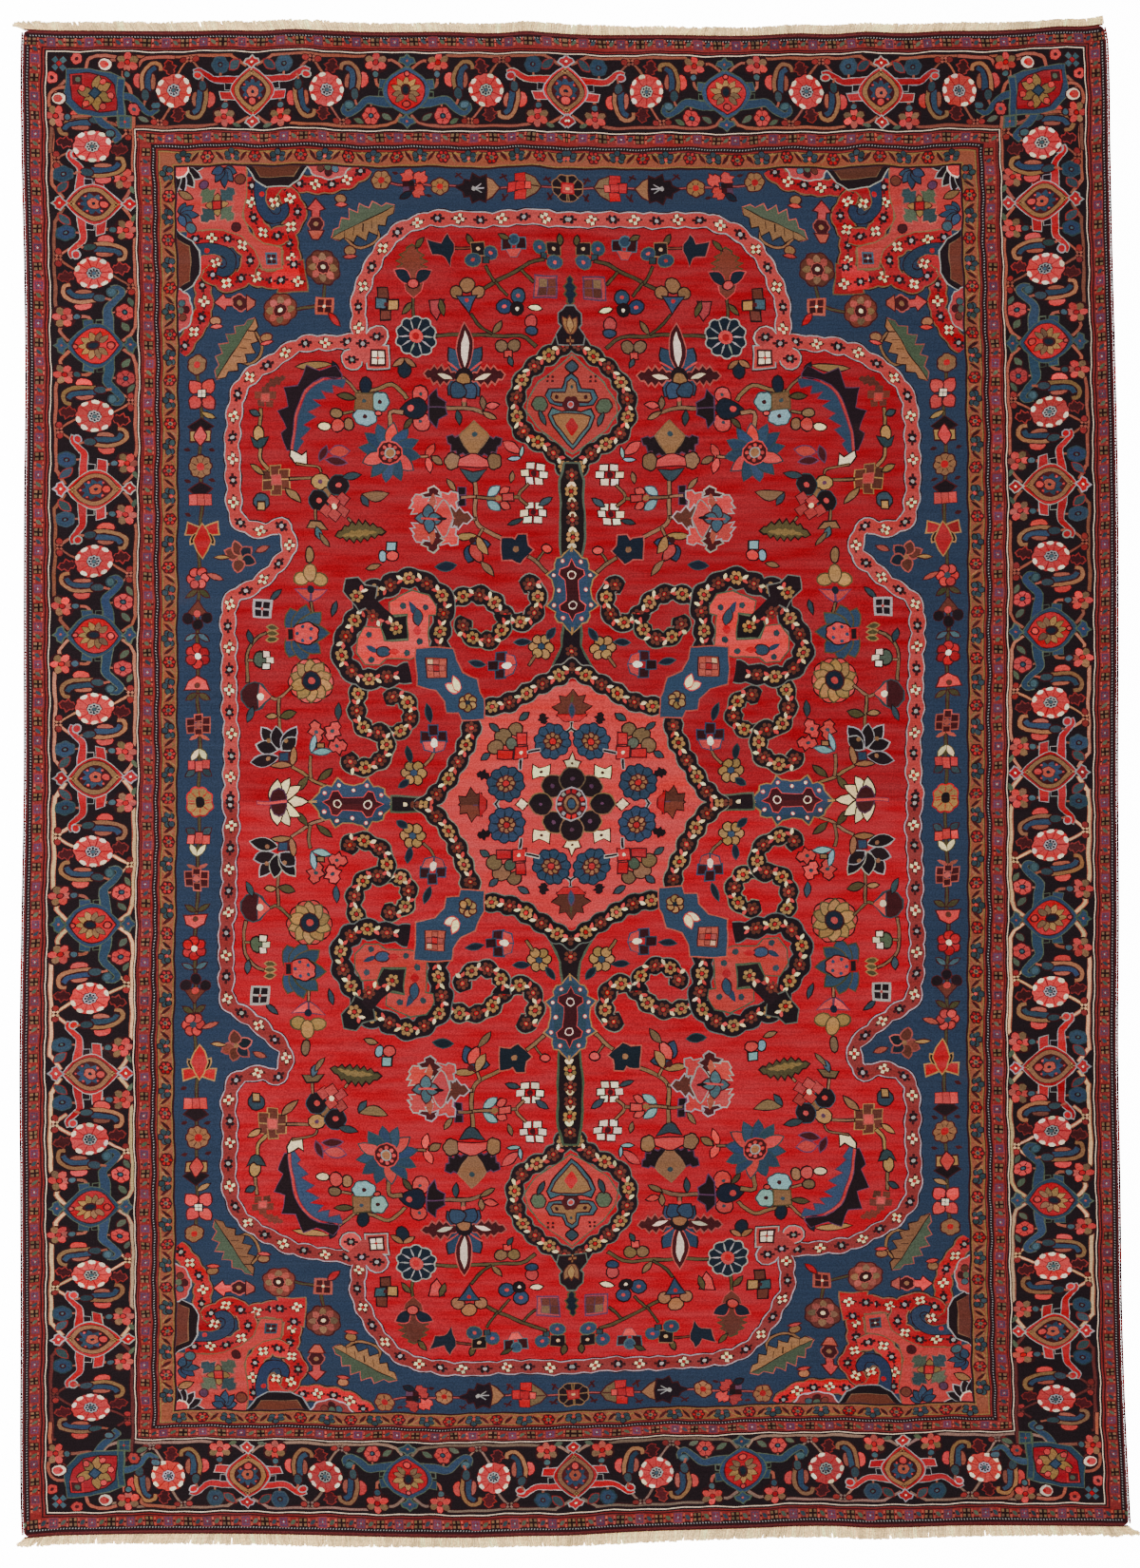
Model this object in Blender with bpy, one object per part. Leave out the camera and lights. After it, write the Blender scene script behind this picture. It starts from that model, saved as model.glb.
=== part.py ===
"""Persian rug: a knotted pile rug lying flat, with overcast side cords and a fringe at both ends.

Units are metres, +Z is up, and the underside lies on z = 0. +Y runs along the rug's length. The rug is
laid out on a plain rectangle (u across, v along) that laid() bends to the real, uneven outline.
"""
import math
import random
from collections import namedtuple

import bpy
import numpy as np

# Driving dimensions of the plain rectangle
PILE_WIDTH = 2.765
PILE_LENGTH = 3.792
PILE_THICKNESS = 0.008
PILE_RIM_RADIUS = 0.002
PILE_CORNER_RADIUS = 0.012
CORNER_STEPS = 4
STEPS_ALONG = 50
STEPS_ACROSS = 70

# Side cords, overcast with wool
CORD_RADIUS = 0.00275

# Fringe: locks of warp ends, fused at a narrow strip beside the pile
STRIP_WIDTH = 0.005
FRINGE_THICKNESS = 0.0035
LOCKS_PER_END = 144
LOCK_ROOT_WIDTH = 0.0138
LOCK_TIP_WIDTH = 0.0090
LEAN_JITTER = math.radians(3.0)
LENGTH_JITTER = 0.0016
FIRST_HALF_LEAN = 0.7
FRINGE_SEED = 41

PIECE_GAP = 0.0003

# How far each side lies outside the plain rectangle (negative: inside), by place along the rug
Side = namedtuple("Side", "along left_out right_out")
SIDES = (
    Side(-1.90, -0.004, 0.031),
    Side(-1.84, -0.001, 0.028),
    Side(-1.70, 0.001, 0.021),
    Side(-1.40, 0.000, 0.010),
    Side(-1.05, 0.001, 0.005),
    Side(-0.70, 0.003, -0.001),
    Side(-0.35, -0.002, 0.001),
    Side(0.00, -0.008, -0.001),
    Side(0.35, -0.008, 0.000),
    Side(0.70, -0.009, -0.001),
    Side(1.00, -0.012, -0.007),
    Side(1.30, -0.009, -0.015),
    Side(1.60, -0.002, -0.021),
    Side(1.80, 0.000, -0.024),
    Side(1.86, -0.001, -0.027),
    Side(1.91, -0.003, -0.036),
)

# How far each end lies outside the plain rectangle, by place across the rug
End = namedtuple("End", "across out")
TOP_END = (
    End(-1.38, 0.000),
    End(-1.32, -0.003),
    End(-1.20, -0.004),
    End(-0.95, -0.005),
    End(-0.86, -0.003),
    End(-0.77, -0.004),
    End(-0.70, 0.000),
    End(-0.62, -0.003),
    End(-0.47, -0.008),
    End(-0.31, -0.007),
    End(-0.16, -0.010),
    End(-0.09, -0.005),
    End(-0.04, -0.009),
    End(0.02, -0.013),
    End(0.26, -0.015),
    End(0.50, -0.016),
    End(0.60, -0.011),
    End(0.69, -0.013),
    End(0.77, -0.007),
    End(0.87, -0.010),
    End(0.98, -0.005),
    End(1.10, -0.004),
    End(1.20, 0.001),
    End(1.27, 0.007),
    End(1.33, 0.007),
    End(1.38, 0.013),
)
BOTTOM_END = (
    End(-1.38, 0.013),
    End(-1.31, 0.007),
    End(-1.22, 0.004),
    End(-0.95, 0.001),
    End(-0.72, 0.003),
    End(-0.60, 0.006),
    End(-0.48, 0.009),
    End(-0.25, 0.011),
    End(-0.11, 0.007),
    End(-0.03, 0.006),
    End(0.11, -0.002),
    End(0.20, -0.006),
    End(0.34, -0.010),
    End(0.46, -0.014),
    End(0.56, -0.018),
    End(0.65, -0.018),
    End(0.73, -0.014),
    End(0.82, -0.015),
    End(0.94, -0.019),
    End(1.18, -0.019),
    End(1.38, -0.017),
)

# How the locks lie at each end: lean towards +X in degrees, and length
Lock = namedtuple("Lock", "across lean length")
TOP_LOCKS = (
    Lock(-1.38, -72.0, 0.037),
    Lock(-1.35, -42.0, 0.029),
    Lock(-1.28, -22.0, 0.027),
    Lock(-1.10, -30.0, 0.029),
    Lock(-0.90, -18.0, 0.028),
    Lock(-0.70, -34.0, 0.031),
    Lock(-0.50, -12.0, 0.027),
    Lock(-0.25, -22.0, 0.029),
    Lock(-0.08, 10.0, 0.029),
    Lock(0.10, 4.0, 0.029),
    Lock(0.22, -20.0, 0.026),
    Lock(0.26, 22.0, 0.027),
    Lock(0.45, 0.0, 0.025),
    Lock(0.62, 14.0, 0.027),
    Lock(0.85, 28.0, 0.028),
    Lock(1.10, 24.0, 0.026),
    Lock(1.25, 12.0, 0.023),
    Lock(1.38, -4.0, 0.024),
)
BOTTOM_LOCKS = (
    Lock(-1.38, -50.0, 0.033),
    Lock(-1.32, -24.0, 0.029),
    Lock(-1.10, -10.0, 0.029),
    Lock(-0.95, -22.0, 0.032),
    Lock(-0.85, 8.0, 0.032),
    Lock(-0.65, 10.0, 0.033),
    Lock(-0.40, 0.0, 0.029),
    Lock(-0.10, 14.0, 0.031),
    Lock(0.15, -6.0, 0.033),
    Lock(0.35, -16.0, 0.031),
    Lock(0.60, 2.0, 0.033),
    Lock(0.90, 6.0, 0.032),
    Lock(1.15, 20.0, 0.031),
    Lock(1.30, 34.0, 0.031),
    Lock(1.38, 62.0, 0.041),
)

Finish = namedtuple("Finish", "colour roughness")
PILE_WOOL = Finish((0.30, 0.035, 0.035, 1.0), 0.9)
CORD_WOOL = Finish((0.085, 0.012, 0.020, 1.0), 0.85)
WARP_COTTON = Finish((0.78, 0.66, 0.47, 1.0), 0.9)

HALF_WIDTH = PILE_WIDTH / 2
HALF_LENGTH = PILE_LENGTH / 2
LEFT, RIGHT = -1, 1
BOTTOM, TOP = -1, 1


def clear_scene():
    """Empty the scene, so that only the rug is in it."""
    for thing in list(bpy.data.objects):
        bpy.data.objects.remove(thing, do_unlink=True)


def smooth_value(rows, column, at):
    """Value of a table's column at a place between its rows: a cubic with the rows' own slopes."""
    places = np.array([row[0] for row in rows])
    values = np.array([getattr(row, column) for row in rows])
    slopes = np.gradient(values, places)
    left = int(np.clip(np.searchsorted(places, at) - 1, 0, len(rows) - 2))
    span = places[left + 1] - places[left]
    t = float(np.clip((at - places[left]) / span, 0.0, 1.0))
    return float(
        values[left] * (1 + 2 * t) * (1 - t) ** 2
        + values[left + 1] * t ** 2 * (3 - 2 * t)
        + span * slopes[left] * t * (1 - t) ** 2
        - span * slopes[left + 1] * t ** 2 * (1 - t)
    )


def laid(u, v):
    """Place of a point of the plain rectangle on the real rug, whose four edges wander."""
    to_right = 0.5 * (1 + u / HALF_WIDTH)
    to_top = 0.5 * (1 + v / HALF_LENGTH)
    rightwards = to_right * smooth_value(SIDES, "right_out", v)
    leftwards = (1 - to_right) * smooth_value(SIDES, "left_out", v)
    upwards = to_top * smooth_value(TOP_END, "out", u)
    downwards = (1 - to_top) * smooth_value(BOTTOM_END, "out", u)
    return u + rightwards - leftwards, v + upwards - downwards


def material(name, finish):
    """A plain woollen or cotton finish."""
    made = bpy.data.materials.new(name)
    made.use_nodes = True
    shader = made.node_tree.nodes["Principled BSDF"]
    shader.inputs["Base Color"].default_value = finish.colour
    shader.inputs["Roughness"].default_value = finish.roughness
    shader.inputs["Metallic"].default_value = 0.0
    return made


def curve_object(name, points, closed, collection, parent, finish):
    """A straight-segment curve through (x, y, z) points, with its own material."""
    curve = bpy.data.curves.new(name, "CURVE")
    spline = curve.splines.new("POLY")
    spline.points.add(len(points) - 1)
    for spline_point, place in zip(spline.points, points):
        spline_point.co = (*place, 1.0)
    spline.use_cyclic_u = closed
    curve.materials.append(material(name, finish))
    made = bpy.data.objects.new(name, curve)
    made.parent = parent
    collection.objects.link(made)
    return made


def flat_piece(name, outline, thickness, rim_radius, collection, parent, finish):
    """A flat sheet with the given outline and rounded rims, resting on z = 0."""
    points = [(x, y, 0.0) for x, y in outline]
    made = curve_object(name, points, True, collection, parent, finish)
    made.data.dimensions = "2D"
    made.data.fill_mode = "BOTH"
    made.data.extrude = thickness / 2 - rim_radius
    made.data.bevel_depth = rim_radius
    made.data.bevel_resolution = 1
    made.data.offset = -rim_radius
    made.location.z = thickness / 2
    return made


def places(half_size, steps):
    """Places along an edge: its two ends, and even steps between its corners' round stretches.

    Neighbouring pieces share these places, so that their edges run side by side.
    """
    straight = half_size - PILE_CORNER_RADIUS
    return [-half_size, *(straight * (2 * index / steps - 1) for index in range(steps + 1)), half_size]


def pile_outline():
    """The rectangle's edge with rounded corners, counter-clockwise, bent to the real outline."""
    inset_width = HALF_WIDTH - PILE_CORNER_RADIUS
    inset_length = HALF_LENGTH - PILE_CORNER_RADIUS
    upwards = places(HALF_LENGTH, STEPS_ALONG)[2:-2]
    rightwards = places(HALF_WIDTH, STEPS_ACROSS)[2:-2]
    plain = []
    corners = ((RIGHT, BOTTOM), (RIGHT, TOP), (LEFT, TOP), (LEFT, BOTTOM))
    edges = (
        [(HALF_WIDTH, v) for v in upwards],
        [(u, HALF_LENGTH) for u in reversed(rightwards)],
        [(-HALF_WIDTH, v) for v in reversed(upwards)],
        [(u, -HALF_LENGTH) for u in rightwards],
    )
    for index, ((side, end), edge) in enumerate(zip(corners, edges)):
        first_angle = math.radians(-90 + 90 * index)
        for step in range(CORNER_STEPS + 1):
            angle = first_angle + math.radians(90) * step / CORNER_STEPS
            plain.append(
                (
                    side * inset_width + PILE_CORNER_RADIUS * math.cos(angle),
                    end * inset_length + PILE_CORNER_RADIUS * math.sin(angle),
                )
            )
        plain += edge
    return [laid(u, v) for u, v in plain]


def side_cord(name, side, collection, parent):
    """The overcast cord that lies along one side of the pile."""
    u = side * (HALF_WIDTH + PIECE_GAP + CORD_RADIUS)
    points = [(*laid(u, v), CORD_RADIUS) for v in places(HALF_LENGTH, STEPS_ALONG)]
    made = curve_object(name, points, False, collection, parent, CORD_WOOL)
    made.data.dimensions = "3D"
    made.data.bevel_depth = CORD_RADIUS
    made.data.bevel_resolution = 2
    made.data.use_fill_caps = True
    return made


def lock_outline(u, end, lean, length):
    """Both edges of one lock, from its left root to its right root, bending to its full lean."""
    v = end * (HALF_LENGTH + PIECE_GAP + STRIP_WIDTH)
    half_way = length / 2
    knee = (half_way * math.sin(FIRST_HALF_LEAN * lean), end * half_way * math.cos(FIRST_HALF_LEAN * lean))
    tip = (knee[0] + half_way * math.sin(lean), knee[1] + end * half_way * math.cos(lean))
    middle_width = (LOCK_ROOT_WIDTH + LOCK_TIP_WIDTH) / 2
    left_root = laid(u - LOCK_ROOT_WIDTH / 2, v)
    right_root = laid(u + LOCK_ROOT_WIDTH / 2, v)
    root = ((left_root[0] + right_root[0]) / 2, (left_root[1] + right_root[1]) / 2)
    outline = [left_root]
    for (dx, dy), angle, width in ((knee, lean * FIRST_HALF_LEAN, middle_width), (tip, lean, LOCK_TIP_WIDTH)):
        across = (math.cos(angle) * width / 2, -end * math.sin(angle) * width / 2)
        outline.append((root[0] + dx - across[0], root[1] + dy - across[1]))
    for (dx, dy), angle, width in ((tip, lean, LOCK_TIP_WIDTH), (knee, lean * FIRST_HALF_LEAN, middle_width)):
        across = (math.cos(angle) * width / 2, -end * math.sin(angle) * width / 2)
        outline.append((root[0] + dx + across[0], root[1] + dy + across[1]))
    outline.append(right_root)
    return outline


def fringe_outline(end, rows, chance):
    """A comb: the strip beside the pile, and the locks that spring from it."""
    inner = end * (HALF_LENGTH + PIECE_GAP)
    outer = end * (HALF_LENGTH + PIECE_GAP + STRIP_WIDTH)
    outline = [laid(u, inner) for u in reversed(places(HALF_WIDTH, STEPS_ACROSS))]
    outline.append(laid(-HALF_WIDTH, outer))
    pitch = PILE_WIDTH / LOCKS_PER_END
    for index in range(LOCKS_PER_END):
        u = pitch * (index + 0.5) - HALF_WIDTH
        lean = math.radians(smooth_value(rows, "lean", u)) + chance.uniform(-LEAN_JITTER, LEAN_JITTER)
        length = smooth_value(rows, "length", u) + chance.uniform(-LENGTH_JITTER, LENGTH_JITTER)
        outline += lock_outline(u, end, lean, length)
    outline.append(laid(HALF_WIDTH, outer))
    return outline


def centre_on_origin(parent, parts):
    """Move the whole rug so that the middle of its bounding box stands over the origin."""
    bpy.context.view_layer.update()
    corners = [part.matrix_world @ point.co.xyz for part in parts for point in part.data.splines[0].points]
    for axis in range(2):
        places = [corner[axis] for corner in corners]
        parent.location[axis] = -(min(places) + max(places)) / 2


def build():
    """Make every piece of the rug."""
    clear_scene()
    collection = bpy.data.collections.new("persian_rug")
    bpy.context.scene.collection.children.link(collection)
    rug = bpy.data.objects.new("rug_frame", None)
    collection.objects.link(rug)
    chance = random.Random(FRINGE_SEED)

    pile = flat_piece("pile", pile_outline(), PILE_THICKNESS, PILE_RIM_RADIUS, collection, rug, PILE_WOOL)
    cords = [
        side_cord("side_cord_left", LEFT, collection, rug),
        side_cord("side_cord_right", RIGHT, collection, rug),
    ]
    fringes = []
    for name, end, rows in (("fringe_top", TOP, TOP_LOCKS), ("fringe_bottom", BOTTOM, BOTTOM_LOCKS)):
        outline = fringe_outline(end, rows, chance)
        fringes.append(flat_piece(name, outline, FRINGE_THICKNESS, 0.0, collection, rug, WARP_COTTON))
    centre_on_origin(rug, [pile, *cords, *fringes])


build()
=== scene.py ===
import math
from collections import namedtuple

import bpy
import numpy as np
from mathutils.geometry import delaunay_2d_cdt
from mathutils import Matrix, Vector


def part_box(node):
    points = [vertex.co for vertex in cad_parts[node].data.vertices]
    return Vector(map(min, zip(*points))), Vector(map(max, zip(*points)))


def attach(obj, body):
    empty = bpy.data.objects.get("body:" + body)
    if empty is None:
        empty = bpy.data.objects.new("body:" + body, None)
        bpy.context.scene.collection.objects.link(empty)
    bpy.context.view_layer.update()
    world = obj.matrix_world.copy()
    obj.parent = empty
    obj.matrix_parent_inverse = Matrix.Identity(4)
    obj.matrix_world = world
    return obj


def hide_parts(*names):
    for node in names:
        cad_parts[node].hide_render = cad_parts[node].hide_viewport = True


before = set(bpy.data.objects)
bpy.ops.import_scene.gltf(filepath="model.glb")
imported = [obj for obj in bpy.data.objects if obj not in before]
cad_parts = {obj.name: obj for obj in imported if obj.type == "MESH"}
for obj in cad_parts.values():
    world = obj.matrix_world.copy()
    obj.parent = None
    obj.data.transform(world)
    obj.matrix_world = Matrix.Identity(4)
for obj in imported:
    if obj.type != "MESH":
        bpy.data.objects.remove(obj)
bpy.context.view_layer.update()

# ---------------------------------------------------------------- the rug's own sizes, in metres
HALF_WIDTH = 2.765 / 2
HALF_LENGTH = 3.792 / 2
PILE_TOP = 0.008
PIECE_GAP = 0.0003
CORD_RADIUS = 0.00275

# The chart is one quarter of the rug, in centimetres from the middle of the medallion
CHART_WIDTH = 138.25
CHART_LENGTH = 194.7
CORNER = 1.2
MEDALLION_X = 0.0024
KNOT = 0.16
LINE = 0.34
SMALLEST_ON_BACK = 4.8
LEFT, RIGHT, TOP, BOTTOM = -1, 1, 1, -1

# How far each side lies outside the plain rectangle (negative: inside), by place along the rug
Side = namedtuple("Side", "along left_out right_out")
SIDES = (
    Side(-1.90, -0.004, 0.031),
    Side(-1.84, -0.001, 0.028),
    Side(-1.70, 0.001, 0.021),
    Side(-1.40, 0.000, 0.010),
    Side(-1.05, 0.001, 0.005),
    Side(-0.70, 0.003, -0.001),
    Side(-0.35, -0.002, 0.001),
    Side(0.00, -0.008, -0.001),
    Side(0.35, -0.008, 0.000),
    Side(0.70, -0.009, -0.001),
    Side(1.00, -0.012, -0.007),
    Side(1.30, -0.009, -0.015),
    Side(1.60, -0.002, -0.021),
    Side(1.80, 0.000, -0.024),
    Side(1.86, -0.001, -0.027),
    Side(1.91, -0.003, -0.036),
)

# How far each end lies outside the plain rectangle, by place across the rug
End = namedtuple("End", "across out")
TOP_END = (
    End(-1.38, 0.000),
    End(-1.32, -0.003),
    End(-1.20, -0.004),
    End(-0.95, -0.005),
    End(-0.86, -0.003),
    End(-0.77, -0.004),
    End(-0.70, 0.000),
    End(-0.62, -0.003),
    End(-0.47, -0.008),
    End(-0.31, -0.007),
    End(-0.16, -0.010),
    End(-0.09, -0.005),
    End(-0.04, -0.009),
    End(0.02, -0.013),
    End(0.26, -0.015),
    End(0.50, -0.016),
    End(0.60, -0.011),
    End(0.69, -0.013),
    End(0.77, -0.007),
    End(0.87, -0.010),
    End(0.98, -0.005),
    End(1.10, -0.004),
    End(1.20, 0.001),
    End(1.27, 0.007),
    End(1.33, 0.007),
    End(1.38, 0.013),
)
BOTTOM_END = (
    End(-1.38, 0.013),
    End(-1.31, 0.007),
    End(-1.22, 0.004),
    End(-0.95, 0.001),
    End(-0.72, 0.003),
    End(-0.60, 0.006),
    End(-0.48, 0.009),
    End(-0.25, 0.011),
    End(-0.11, 0.007),
    End(-0.03, 0.006),
    End(0.11, -0.002),
    End(0.20, -0.006),
    End(0.34, -0.010),
    End(0.46, -0.014),
    End(0.56, -0.018),
    End(0.65, -0.018),
    End(0.73, -0.014),
    End(0.82, -0.015),
    End(0.94, -0.019),
    End(1.18, -0.019),
    End(1.38, -0.017),
)

# Where the chart's stations fall on the plain rectangle: the weaver packed the lower end tighter
Station = namedtuple("Station", "chart place")
ALONG = {
    TOP: (
        Station(0.0, -0.0504),
        Station(CHART_LENGTH, HALF_LENGTH),
    ),
    BOTTOM: (
        Station(0.0, -0.0504),
        Station(101.3, -1.0584),
        Station(160.7, -1.5850),
        Station(170.1, -1.6600),
        Station(189.8, -1.8420),
        Station(CHART_LENGTH, -HALF_LENGTH),
    ),
}
ACROSS = {
    LEFT: (
        Station(0.0, MEDALLION_X),
        Station(109.9, -1.0968),
        Station(132.3, -1.3220),
        Station(CHART_WIDTH, -HALF_WIDTH),
    ),
    RIGHT: (
        Station(0.0, MEDALLION_X),
        Station(109.9, 1.1060),
        Station(132.3, 1.3250),
        Station(CHART_WIDTH, HALF_WIDTH),
    ),
}

# Dyed wools, as they look by daylight
WOOL = {
    "red": (177, 40, 54),
    "bright": (192, 47, 57),
    "coral": (212, 89, 87),
    "pink": (193, 86, 86),
    "rose": (184, 104, 96),
    "pale": (226, 188, 148),
    "salmon": (187, 104, 88),
    "lattice": (171, 107, 90),
    "buff": (198, 142, 114),
    "guard": (165, 103, 79),
    "ochre": (162, 123, 91),
    "straw": (179, 144, 98),
    "khaki": (147, 118, 91),
    "olive": (104, 94, 66),
    "brown": (124, 74, 62),
    "maroon": (90, 40, 45),
    "plum": (76, 33, 39),
    "edge": (125, 59, 60),
    "guard_red": (155, 64, 62),
    "guard_pink": (149, 75, 82),
    "mauve": (116, 80, 106),
    "navy": (52, 38, 44),
    "night": (44, 54, 68),
    "black": (52, 37, 43),
    "ground_blue": (66, 81, 104),
    "blue": (70, 90, 112),
    "slate": (74, 91, 98),
    "steel": (91, 116, 124),
    "sky": (146, 180, 184),
    "ice": (176, 172, 170),
    "grey": (132, 134, 124),
    "moss": (106, 116, 98),
    "cream": (252, 230, 186),
    "white": (255, 232, 208),
    "outline": (60, 30, 33),
    "cotton": (255, 230, 184),
    "taupe": (150, 126, 114),
    "dusky": (118, 66, 62),
    "gold": (158, 128, 84),
}
DYE_DEPTH = 1.40
DYE_LIGHT = 0.80


def dyed(colours):
    """The surface colour that looks like a daylight colour under the studio lamps: c to the power DYE_DEPTH,
    times DYE_LIGHT."""
    return DYE_LIGHT * (np.asarray(colours, float) / 255) ** DYE_DEPTH


def smooth_values(rows, column, at):
    """A table's column at any places: cubic between the rows, with the rows' own slopes."""
    places = np.array([row[0] for row in rows])
    values = np.array([getattr(row, column) for row in rows])
    slopes = np.gradient(values, places)
    left = np.clip(np.searchsorted(places, at) - 1, 0, len(rows) - 2)
    span = places[left + 1] - places[left]
    t = np.clip((at - places[left]) / span, 0.0, 1.0)
    return (
        values[left] * (1 + 2 * t) * (1 - t) ** 2
        + values[left + 1] * t ** 2 * (3 - 2 * t)
        + span * slopes[left] * t * (1 - t) ** 2
        - span * slopes[left + 1] * t ** 2 * (1 - t)
    )


def laid(x, y):
    """Places of the plain rectangle on the real rug, whose four edges wander."""
    to_right = 0.5 * (1 + x / HALF_WIDTH)
    to_top = 0.5 * (1 + y / HALF_LENGTH)
    rightwards = to_right * smooth_values(SIDES, "right_out", y)
    leftwards = (1 - to_right) * smooth_values(SIDES, "left_out", y)
    upwards = to_top * smooth_values(TOP_END, "out", x)
    downwards = (1 - to_top) * smooth_values(BOTTOM_END, "out", x)
    return x + rightwards - leftwards, y + upwards - downwards


def station_values(rows, at):
    """Straight lines between the stations, carried on past both ends."""
    chart = np.array([row.chart for row in rows])
    place = np.array([row.place for row in rows])
    inside = np.interp(at, chart, place)
    before = (place[1] - place[0]) / (chart[1] - chart[0]) * np.minimum(at - chart[0], 0)
    return inside + before


# The CAD rug is centred on its own box, so the pile's box gives the shift from the plain rectangle
pile_low, pile_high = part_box("pile")
EDGE_PLACES = 400
edge_y = np.linspace(-HALF_LENGTH, HALF_LENGTH, EDGE_PLACES)
edge_x = np.linspace(-HALF_WIDTH, HALF_WIDTH, EDGE_PLACES)
SHIFT_X = float(pile_low[0] - laid(np.full(EDGE_PLACES, -HALF_WIDTH), edge_y)[0].min())
SHIFT_Y = float(pile_high[1] - laid(edge_x, np.full(EDGE_PLACES, HALF_LENGTH))[1].max())


def on_rug(x, y):
    """Places of the plain rectangle in the CAD's own frame."""
    real_x, real_y = laid(x, y)
    return real_x + SHIFT_X, real_y + SHIFT_Y


def hand_wander(x, y):
    """The small drift of a hand-knotted drawing: a few sine waves, fading out at the edges."""
    near_side = np.clip((HALF_WIDTH - np.abs(x)) / 0.05, 0, 1)
    near_end = np.clip((HALF_LENGTH - np.abs(y)) / 0.05, 0, 1)
    inside = near_side * near_end
    dx = 0.0016 * np.sin(31 * y + 2.1 * np.sin(9 * x)) + 0.0011 * np.sin(83 * y + 40 * x)
    dy = 0.0016 * np.sin(27 * x + 1.7 * np.sin(11 * y + 1)) + 0.0011 * np.sin(71 * x - 52 * y)
    return x + inside * dx, y + inside * dy


# ---------------------------------------------------------------- outlines, as arrays of points
POINTS_IN_LOBE = 5
OGIVE_POINTS = 11


def disc(x, y, r, ry=None, turn=0.0, steps=11):
    """An ellipse: r cos a, ry sin a, turned by an angle in degrees."""
    angles = np.linspace(0, 2 * np.pi, steps, endpoint=False) + 0.3
    return turned(r * np.cos(angles), (ry or r) * np.sin(angles), turn, x, y)


def heading(turn):
    """The cosine and the sine of an angle in degrees."""
    return math.cos(math.radians(turn)), math.sin(math.radians(turn))


def turned(along, across, turn, x, y):
    """Local points turned by degrees and moved to x, y."""
    cosine, sine = heading(turn)
    return np.column_stack((x + along * cosine - across * sine, y + along * sine + across * cosine))


def block(x, y, width, height, turn=0.0):
    """A rectangle about its middle."""
    half_x, half_y = width / 2, height / 2
    return turned(
        np.array((-half_x, half_x, half_x, -half_x)), np.array((-half_y, -half_y, half_y, half_y)), turn, x, y
    )


def scallop(x, y, r, lobes, ry=None, depth=0.16, turn=0.0):
    """A rosette's edge: the radius falls by depth between rounded lobes, each of POINTS_IN_LOBE points."""
    angles = np.linspace(0, 2 * np.pi, lobes * POINTS_IN_LOBE, endpoint=False)
    reach = 1 - depth + depth * np.abs(np.cos(lobes * angles / 2)) ** 0.6
    return turned(r * reach * np.cos(angles), (ry or r) * reach * np.sin(angles), turn, x, y)


def petal(x, y, angle, near, far, width, steps=5):
    """A drop from near to far along an angle: half width w sin(pi t^0.75)."""
    t = np.linspace(0, 1, steps + 2)[1:-1]
    half = 0.5 * width * np.sin(np.pi * t ** 0.75) ** 0.7
    along = near + (far - near) * t
    rim = np.concatenate(((near,), along, (far,), along[::-1]))
    out = np.concatenate(((0,), half, (0,), -half[::-1]))
    return turned(rim, out, angle, x, y)


def leaf(x0, y0, x1, y1, width, bend=0.0, teeth=0):
    """A lens between two points, its middle bent aside, its edge toothed if asked."""
    steps = 5 if not teeth else 2 * teeth + 1
    t = np.linspace(0, 1, steps + 2)[1:-1]
    half = 0.5 * width * np.sin(np.pi * t) ** 0.8
    if teeth:
        half = half * np.where(np.arange(steps) % 2 == 0, 1.15, 0.62)
    length = math.hypot(x1 - x0, y1 - y0)
    aside = bend * 4 * t * (1 - t)
    along = np.concatenate(((0,), length * t, (length,), length * t[::-1]))
    across = np.concatenate(((0,), aside + half, (0,), (aside - half)[::-1]))
    return turned(along, across, math.degrees(math.atan2(y1 - y0, x1 - x0)), x0, y0)


def ogive(x, y, half, below, above, turn=0.0, power=1.5):
    """A pointed oval: half width falls as 1 - |t|^power towards both tips."""
    t = np.linspace(-1, 1, OGIVE_POINTS)
    along = np.where(t < 0, t * below, t * above)
    out = half * (1 - np.abs(t) ** power)
    right = np.column_stack((out, along))
    left = np.column_stack((-out[::-1], along[::-1]))[1:-1]
    points = np.concatenate((right, left))
    return turned(points[:, 0], points[:, 1], turn, x, y)


def smooth_path(points, steps=4):
    """A curve through points: cubic pieces whose slopes follow the neighbours."""
    p = np.asarray(points, float)
    if len(p) < 3:
        t = np.linspace(0, 1, steps + 1)[:, None]
        return p[0] * (1 - t) + p[1] * t
    before = np.vstack((2 * p[0] - p[1], p[:-1]))
    after = np.vstack((p[1:], 2 * p[-1] - p[-2]))
    slope = (after - before) / 2
    t = np.linspace(0, 1, steps, endpoint=False)[None, :, None]
    a, b = p[:-1, None], p[1:, None]
    slope_a, slope_b = slope[:-1, None], slope[1:, None]
    curve = (
        a * (1 + 2 * t) * (1 - t) ** 2 + b * t ** 2 * (3 - 2 * t)
        + slope_a * t * (1 - t) ** 2 - slope_b * t ** 2 * (1 - t)
    ).reshape(-1, 2)
    return np.vstack((curve, p[-1]))


def path_normals(path):
    """Unit normals, to the left of a path's direction."""
    slope = np.gradient(path, axis=0)
    slope /= np.maximum(np.linalg.norm(slope, axis=1, keepdims=True), 1e-9)
    return np.column_stack((-slope[:, 1], slope[:, 0]))


def ribbon(points, width, steps=4, wave=0.0, waves=0.0, taper=0.0):
    """A band along a path: half its width to each side, waved or tapered towards its end if asked."""
    path = smooth_path(points, steps)
    run = np.concatenate(((0,), np.cumsum(np.linalg.norm(np.diff(path, axis=0), axis=1))))
    half = width / 2 * (1 - taper * run / run[-1])
    if wave:
        half = half + wave * (np.abs(np.sin(np.pi * run / waves)) - 0.6)
    aside = path_normals(path) * half[:, None]
    return np.concatenate((path + aside, (path - aside)[::-1]))


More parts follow.
